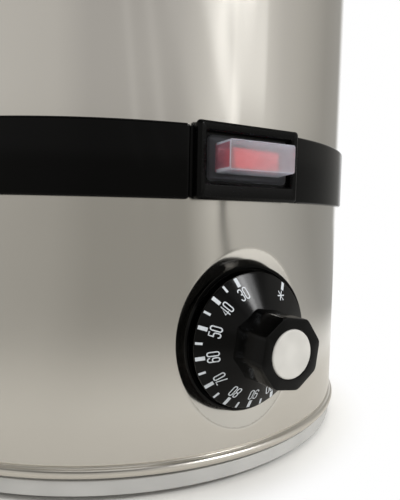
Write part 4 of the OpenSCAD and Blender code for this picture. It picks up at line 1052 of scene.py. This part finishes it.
# %% Tap spring
WIRE_R, TURNS, TURN_STEPS, WIRE_SIDES = 0.7, 7, 20, 10
spring_low, spring_high = (Vector(corner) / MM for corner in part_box("tap_spring"))
coil_r = (spring_high.x - spring_low.x) / 2 - WIRE_R
coil_middle = (spring_low + spring_high) / 2
coil_length = spring_high.z - spring_low.z
wire_rings = []
for k in range(TURNS * TURN_STEPS + 1):
    a = 2 * math.pi * k / TURN_STEPS
    out = Vector((math.cos(a), math.sin(a), 0))
    share = k / (TURNS * TURN_STEPS)
    rise = spring_low.z + WIRE_R + (coil_length - 2 * WIRE_R) * share
    core = Vector((coil_middle.x, coil_middle.y, rise))
    wire_rings.append([core + out * (coil_r + WIRE_R * math.cos(t)) + upward * WIRE_R * math.sin(t)
                       for t in (2 * math.pi * j / WIRE_SIDES for j in range(WIRE_SIDES))])
spring = piece("spring", skin(wire_rings), FINISH["bright_steel"],
               stands_for=["tap_spring"])
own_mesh(spring)

# %% [markdown]
# The camera repeats the photograph: close to the urn, a little above the controls and to their
# left. Its place is written as turns and steps from the urn's axis, which is how such a shot is set
# up in a studio.

# %% Camera
LOOK_AZIMUTH, STAND_OFF, EYE_HEIGHT = math.radians(36.9), 0.36731, 0.12687
LOOK_ASIDE, LOOK_DOWN, LOOK_ROLL = math.radians(-9.349), math.radians(4.088), math.radians(1.242)
camera_data = bpy.data.cameras.new("camera")
camera_data.sensor_width = 36
camera_data.lens = 36.706
camera_data.clip_start = 0.01
camera = bpy.data.objects.new("camera", camera_data)
bpy.context.scene.collection.objects.link(camera)
camera.matrix_world = (
    Matrix.Rotation(LOOK_AZIMUTH, 4, "Z")
    @ Matrix.Translation((0, -STAND_OFF, EYE_HEIGHT))
    @ Matrix.Rotation(LOOK_ASIDE, 4, "Z")
    @ Matrix.Rotation(math.radians(90) - LOOK_DOWN, 4, "X")
    @ Matrix.Rotation(LOOK_ROLL, 4, "Z")
)
bpy.context.scene.camera = camera
print("camera at", [round(v, 3) for v in camera.matrix_world.translation])

# %% [markdown]
# Satin steel is mostly a picture of the room, so the room has to be right. Its tones are written as
# lists round the urn, by degrees to the right of the camera: one for the walls, one for what is
# near the floor and one for the ceiling. They are white behind the urn, plain grey on the camera's
# side and brighter to the right, and the ceiling is darker. Directions are fixed in the room, so
# they stay put when the view turns.

# %% Tones of the room
def room_direction(azimuth, elevation=0):
    """A direction in the room: degrees to the right of the camera, and up."""
    a, e = LOOK_AZIMUTH + math.radians(azimuth), math.radians(elevation)
    return Vector((math.sin(a) * math.cos(e), -math.cos(a) * math.cos(e), math.sin(e)))


ROOM_HIGH = [
    (-180, "#FFFFFF"), (-150, "#FFFFFF"), (-138, "#E0DEDA"), (-60, "#E0DEDA"), (-26, "#DAD8D4"),
    (-12, "#C9C7C4"), (26, "#C9C7C4"), (36, "#D8D6D2"), (44, "#E0DEDA"), (58, "#E8E6E2"),
    (71, "#F0EEEA"), (80, "#DAD8D4"), (92, "#CECCC7"), (115, "#ADABA6"), (138, "#AAA8A3"),
    (147, "#FFFFFF"), (180, "#FFFFFF"),
]
ROOM_LOW = [
    (-180, "#FFFFFF"), (-150, "#FFFFFF"), (-138, "#C9C7C2"), (-26, "#B4B2AC"), (-10, "#A6A49E"),
    (30, "#A6A49E"), (41, "#CECCC6"), (46.2, "#CECCC6"), (46.8, "#4A4946"), (49, "#4A4946"),
    (49.6, "#CECCC6"), (70, "#C8C7C3"), (86, "#BAB9B5"), (104, "#A8A7A3"), (138, "#A8A7A3"),
    (147, "#FFFFFF"), (180, "#FFFFFF"),
]
ROOM_TOP = [
    (-180, "#FFFFFF"), (-150, "#FFFFFF"), (-120, "#B0AEAA"), (-60, "#7A7874"), (-20, "#4E4D4A"),
    (36, "#4E4D4A"), (70, "#6E6C68"), (120, "#8C8A86"), (147, "#FFFFFF"), (180, "#FFFFFF"),
]


print("room of", len(ROOM_HIGH) + len(ROOM_LOW) + len(ROOM_TOP), "tones")

# %% [markdown]
# A gradient that runs once round the urn looks the tones up in a colour ramp. Light Path tells who
# asks: the camera sees plain white, a reflection sees the room, and every other ray takes the even
# light of the studio.

# %% Who sees the room
WHITE = linear("#FFFFFF")


def room_tone(tree, place, tones):
    """The tone of the room round the urn, by degrees to the right of the camera."""
    faced = add(tree, "Mapping", {0: place, 2: (0, 0, math.radians(90) - LOOK_AZIMUTH)})
    sweep = add(tree, "TexGradient", {0: faced.outputs[0]}, gradient_type="RADIAL")
    ramp = add(tree, "ValToRGB", {0: sweep.outputs[1]})
    stops = ramp.color_ramp.elements
    stops[0].color, stops[1].color = linear(tones[0][1]), linear(tones[-1][1])
    for azimuth, tone in tones[1:-1]:
        stops.new(azimuth / 360 + 0.5).color = linear(tone)
    return ramp.outputs[0]


def room_light(tree, tone):
    """White to the camera, and a tone of the room in reflections."""
    straight = add(tree, "LightPath").outputs["Is Camera Ray"]
    return add(tree, "Mix", {0: straight, 6: tone, 7: WHITE}, data_type="RGBA").outputs[2]


def is_seen(tree):
    """1 for rays that show the room to the camera, in a reflection or through a clear wall."""
    path = add(tree, "LightPath").outputs
    shown = add(tree, "Math", {0: path["Is Camera Ray"], 1: path["Is Glossy Ray"]}, operation="MAXIMUM")
    either = {0: shown.outputs[0], 1: path["Is Transmission Ray"]}
    return add(tree, "Math", either, operation="MAXIMUM").outputs[0]


print("the camera sees white, steel sees the room")

# %% [markdown]
# The floor is a pale paper sheet. Near the urn it is real paper that takes the urn's shadow. It is
# tinted a little darker on the camera's side, a painted shade for the side that the windows light
# less, and in reflections it is tinted darker close to the urn, a painted shade of the urn. Further
# out it runs into the tones of the room, so no horizon shows. Reflections see that change further
# out and more slowly than the camera does.

# %% Floor
FLOOR_SIZE = 6
SOFT = {"interpolation_type": "SMOOTHSTEP"}
floor_mesh = bpy.data.meshes.new("floor")
floor_corners = [(x * FLOOR_SIZE, y * FLOOR_SIZE, 0) for x, y in ((-1, -1), (1, -1), (1, 1), (-1, 1))]
floor_mesh.from_pydata(floor_corners, [], [(0, 1, 2, 3)])
floor = bpy.data.objects.new("floor", floor_mesh)
bpy.context.scene.collection.objects.link(floor)
floor_paper, tree = blank("paper_matt_pale")
spot = add(tree, "TexCoord").outputs["Object"]
# painted shade: the paper's tint darkens toward the camera's side, away from the windows
toward = add(tree, "VectorMath", {0: spot, 1: room_direction(-30)}, operation="DOT_PRODUCT")
camera_side_shade = add(tree, "MapRange", {0: toward.outputs["Value"], 1: -0.05, 2: 0.3, 3: 0, 4: 1}, **SOFT)
away = add(tree, "VectorMath", {0: spot}, operation="LENGTH").outputs["Value"]
# painted shade: reflections see the paper close to the urn tinted darker
near = add(tree, "MapRange", {0: away, 1: 0.22, 2: 0.3, 3: 1, 4: 0}, **SOFT)
mirrored = add(tree, "LightPath").outputs["Is Glossy Ray"]
mirrored_urn_shade = add(tree, "Math", {0: near.outputs[0], 1: mirrored}, operation="MULTIPLY")
shaded = add(tree, "Math", {0: camera_side_shade.outputs[0], 1: mirrored_urn_shade.outputs[0]}, operation="MAXIMUM")
tint = add(tree, "Mix", {
    0: shaded.outputs[0], 6: linear("#F7F7F5"), 7: linear("#DAD8D3"),
}, data_type="RGBA")
paper = add(tree, "BsdfPrincipled", {
    "Base Color": tint.outputs[2], "Roughness": 0.8, "Specular IOR Level": 0.2,
})
far_mirrored = add(tree, "MapRange", {0: away, 1: 0.18, 2: 0.5, 3: 0, 4: 1}, **SOFT)
far_straight = add(tree, "MapRange", {0: away, 1: 0.15, 2: 0.178, 3: 0, 4: 1}, **SOFT)
straight = add(tree, "LightPath").outputs["Is Camera Ray"]
far = add(tree, "Mix", {0: straight, 2: far_mirrored.outputs[0], 3: far_straight.outputs[0]})
into_room = add(tree, "Math", {0: far.outputs[0], 1: is_seen(tree)}, operation="MULTIPLY")
glow = add(tree, "Emission", {0: room_light(tree, room_tone(tree, spot, ROOM_LOW)), 1: 1})
blend = add(tree, "MixShader", {0: into_room.outputs[0], 1: paper.outputs[0], 2: glow.outputs[0]})
add(tree, "OutputMaterial", {0: blend.outputs[0]})
floor_mesh.materials.append(floor_paper)
print("floor", 2 * FLOOR_SIZE, "m wide")

# %% [markdown]
# The world is the room itself: low tones near the floor, the walls above them and the darker
# ceiling on top, with soft changes between them. Rays that only carry light take one even pale tone
# instead, so that the colours of the urn come out about as they are written.

# %% World
world = bpy.data.worlds.new("studio")
world.use_nodes = True
bpy.context.scene.world = world
tree = world.node_tree
tree.nodes.clear()
spot = add(tree, "TexCoord").outputs["Generated"]
height = add(tree, "SeparateXYZ", {0: spot})
above = add(tree, "MapRange", {0: height.outputs[2], 1: 0.08, 2: 0.16, 3: 0, 4: 1}, **SOFT)
wall = add(tree, "Mix", {
    0: above.outputs[0], 6: room_tone(tree, spot, ROOM_LOW), 7: room_tone(tree, spot, ROOM_HIGH),
}, data_type="RGBA")
upper = add(tree, "MapRange", {0: height.outputs[2], 1: 0.45, 2: 0.55, 3: 0, 4: 1}, **SOFT)
whole = add(tree, "Mix", {
    0: upper.outputs[0], 6: wall.outputs[2], 7: room_tone(tree, spot, ROOM_TOP),
}, data_type="RGBA")
room = add(tree, "Background", {0: room_light(tree, whole.outputs[2]), 1: 1})
glow = add(tree, "Background", {0: linear("#F4F2EF"), 1: 1})
mix = add(tree, "MixShader", {0: is_seen(tree), 1: glow.outputs[0], 2: room.outputs[0]})
add(tree, "OutputWorld", {0: mix.outputs[0]})
print("world of", len(tree.nodes), "nodes")

# %% [markdown]
# The lights are soft panels. A narrow leaning window and a broad upright one draw the two bright
# bands on the tank, with a faint glow beside them and two faint strips to the left. Two patches of
# sky draw the sheen on the dial, and a broad panel hangs overhead. Each is given by its radiance,
# the brightness that a reflection of it has, and the power follows from its size.

# %% Lights
def soft_light(name, azimuth, distance, height, width, tall, radiance, aim_height, lean=0):
    """An area light in the room, turned toward a height on the urn's axis, its top leaning left."""
    data = bpy.data.lights.new(name, "AREA")
    data.shape = "RECTANGLE"
    data.size, data.size_y = width, tall
    data.energy = radiance * math.pi * width * tall
    lamp = bpy.data.objects.new(name, data)
    bpy.context.scene.collection.objects.link(lamp)
    lamp.location = room_direction(azimuth) * distance + Vector((0, 0, height))
    aim = Vector((0, 0, aim_height)) - lamp.location
    turn = aim.to_track_quat("-Z", "Y").to_matrix() @ Matrix.Rotation(math.radians(lean), 3, "Z")
    lamp.rotation_euler = turn.to_euler()
    print("light", name, "of", round(data.energy, 2), "W")


soft_light("window_left", 34, 1.2, 0.75, 0.13, 1.1, 0.62, 0.75, 40)
soft_light("window_right", 56.5, 1.2, 0.95, 0.36, 1.1, 0.36, 0.95)
soft_light("window_glow", 31, 1.2, 0.5, 0.2, 0.8, 0.1, 0.5, 42)
soft_light("strip_left", 4.7, 1.2, 0.5, 0.05, 0.6, 0.1, 0.5, 18)
soft_light("strip_right", 14.3, 1.2, 0.5, 0.06, 0.6, 0.11, 0.5, 22)
soft_light("sky_left", 51.5, 3, 2.4, 0.52, 0.75, 30, 0.08)
soft_light("sky_right", 61.5, 3, 2.3, 0.4, 0.8, 11, 0.08)
soft_light("overhead", 0, 0, 1.7, 1.2, 1.2, 1.0, 0)

# %% [markdown]
# The last cell sets the plain view transform, so that colours come out as written, and notes the
# two boxes that say whether the dressed urn has kept its size.

# %% View transform
bpy.context.scene.view_settings.view_transform = "Standard"
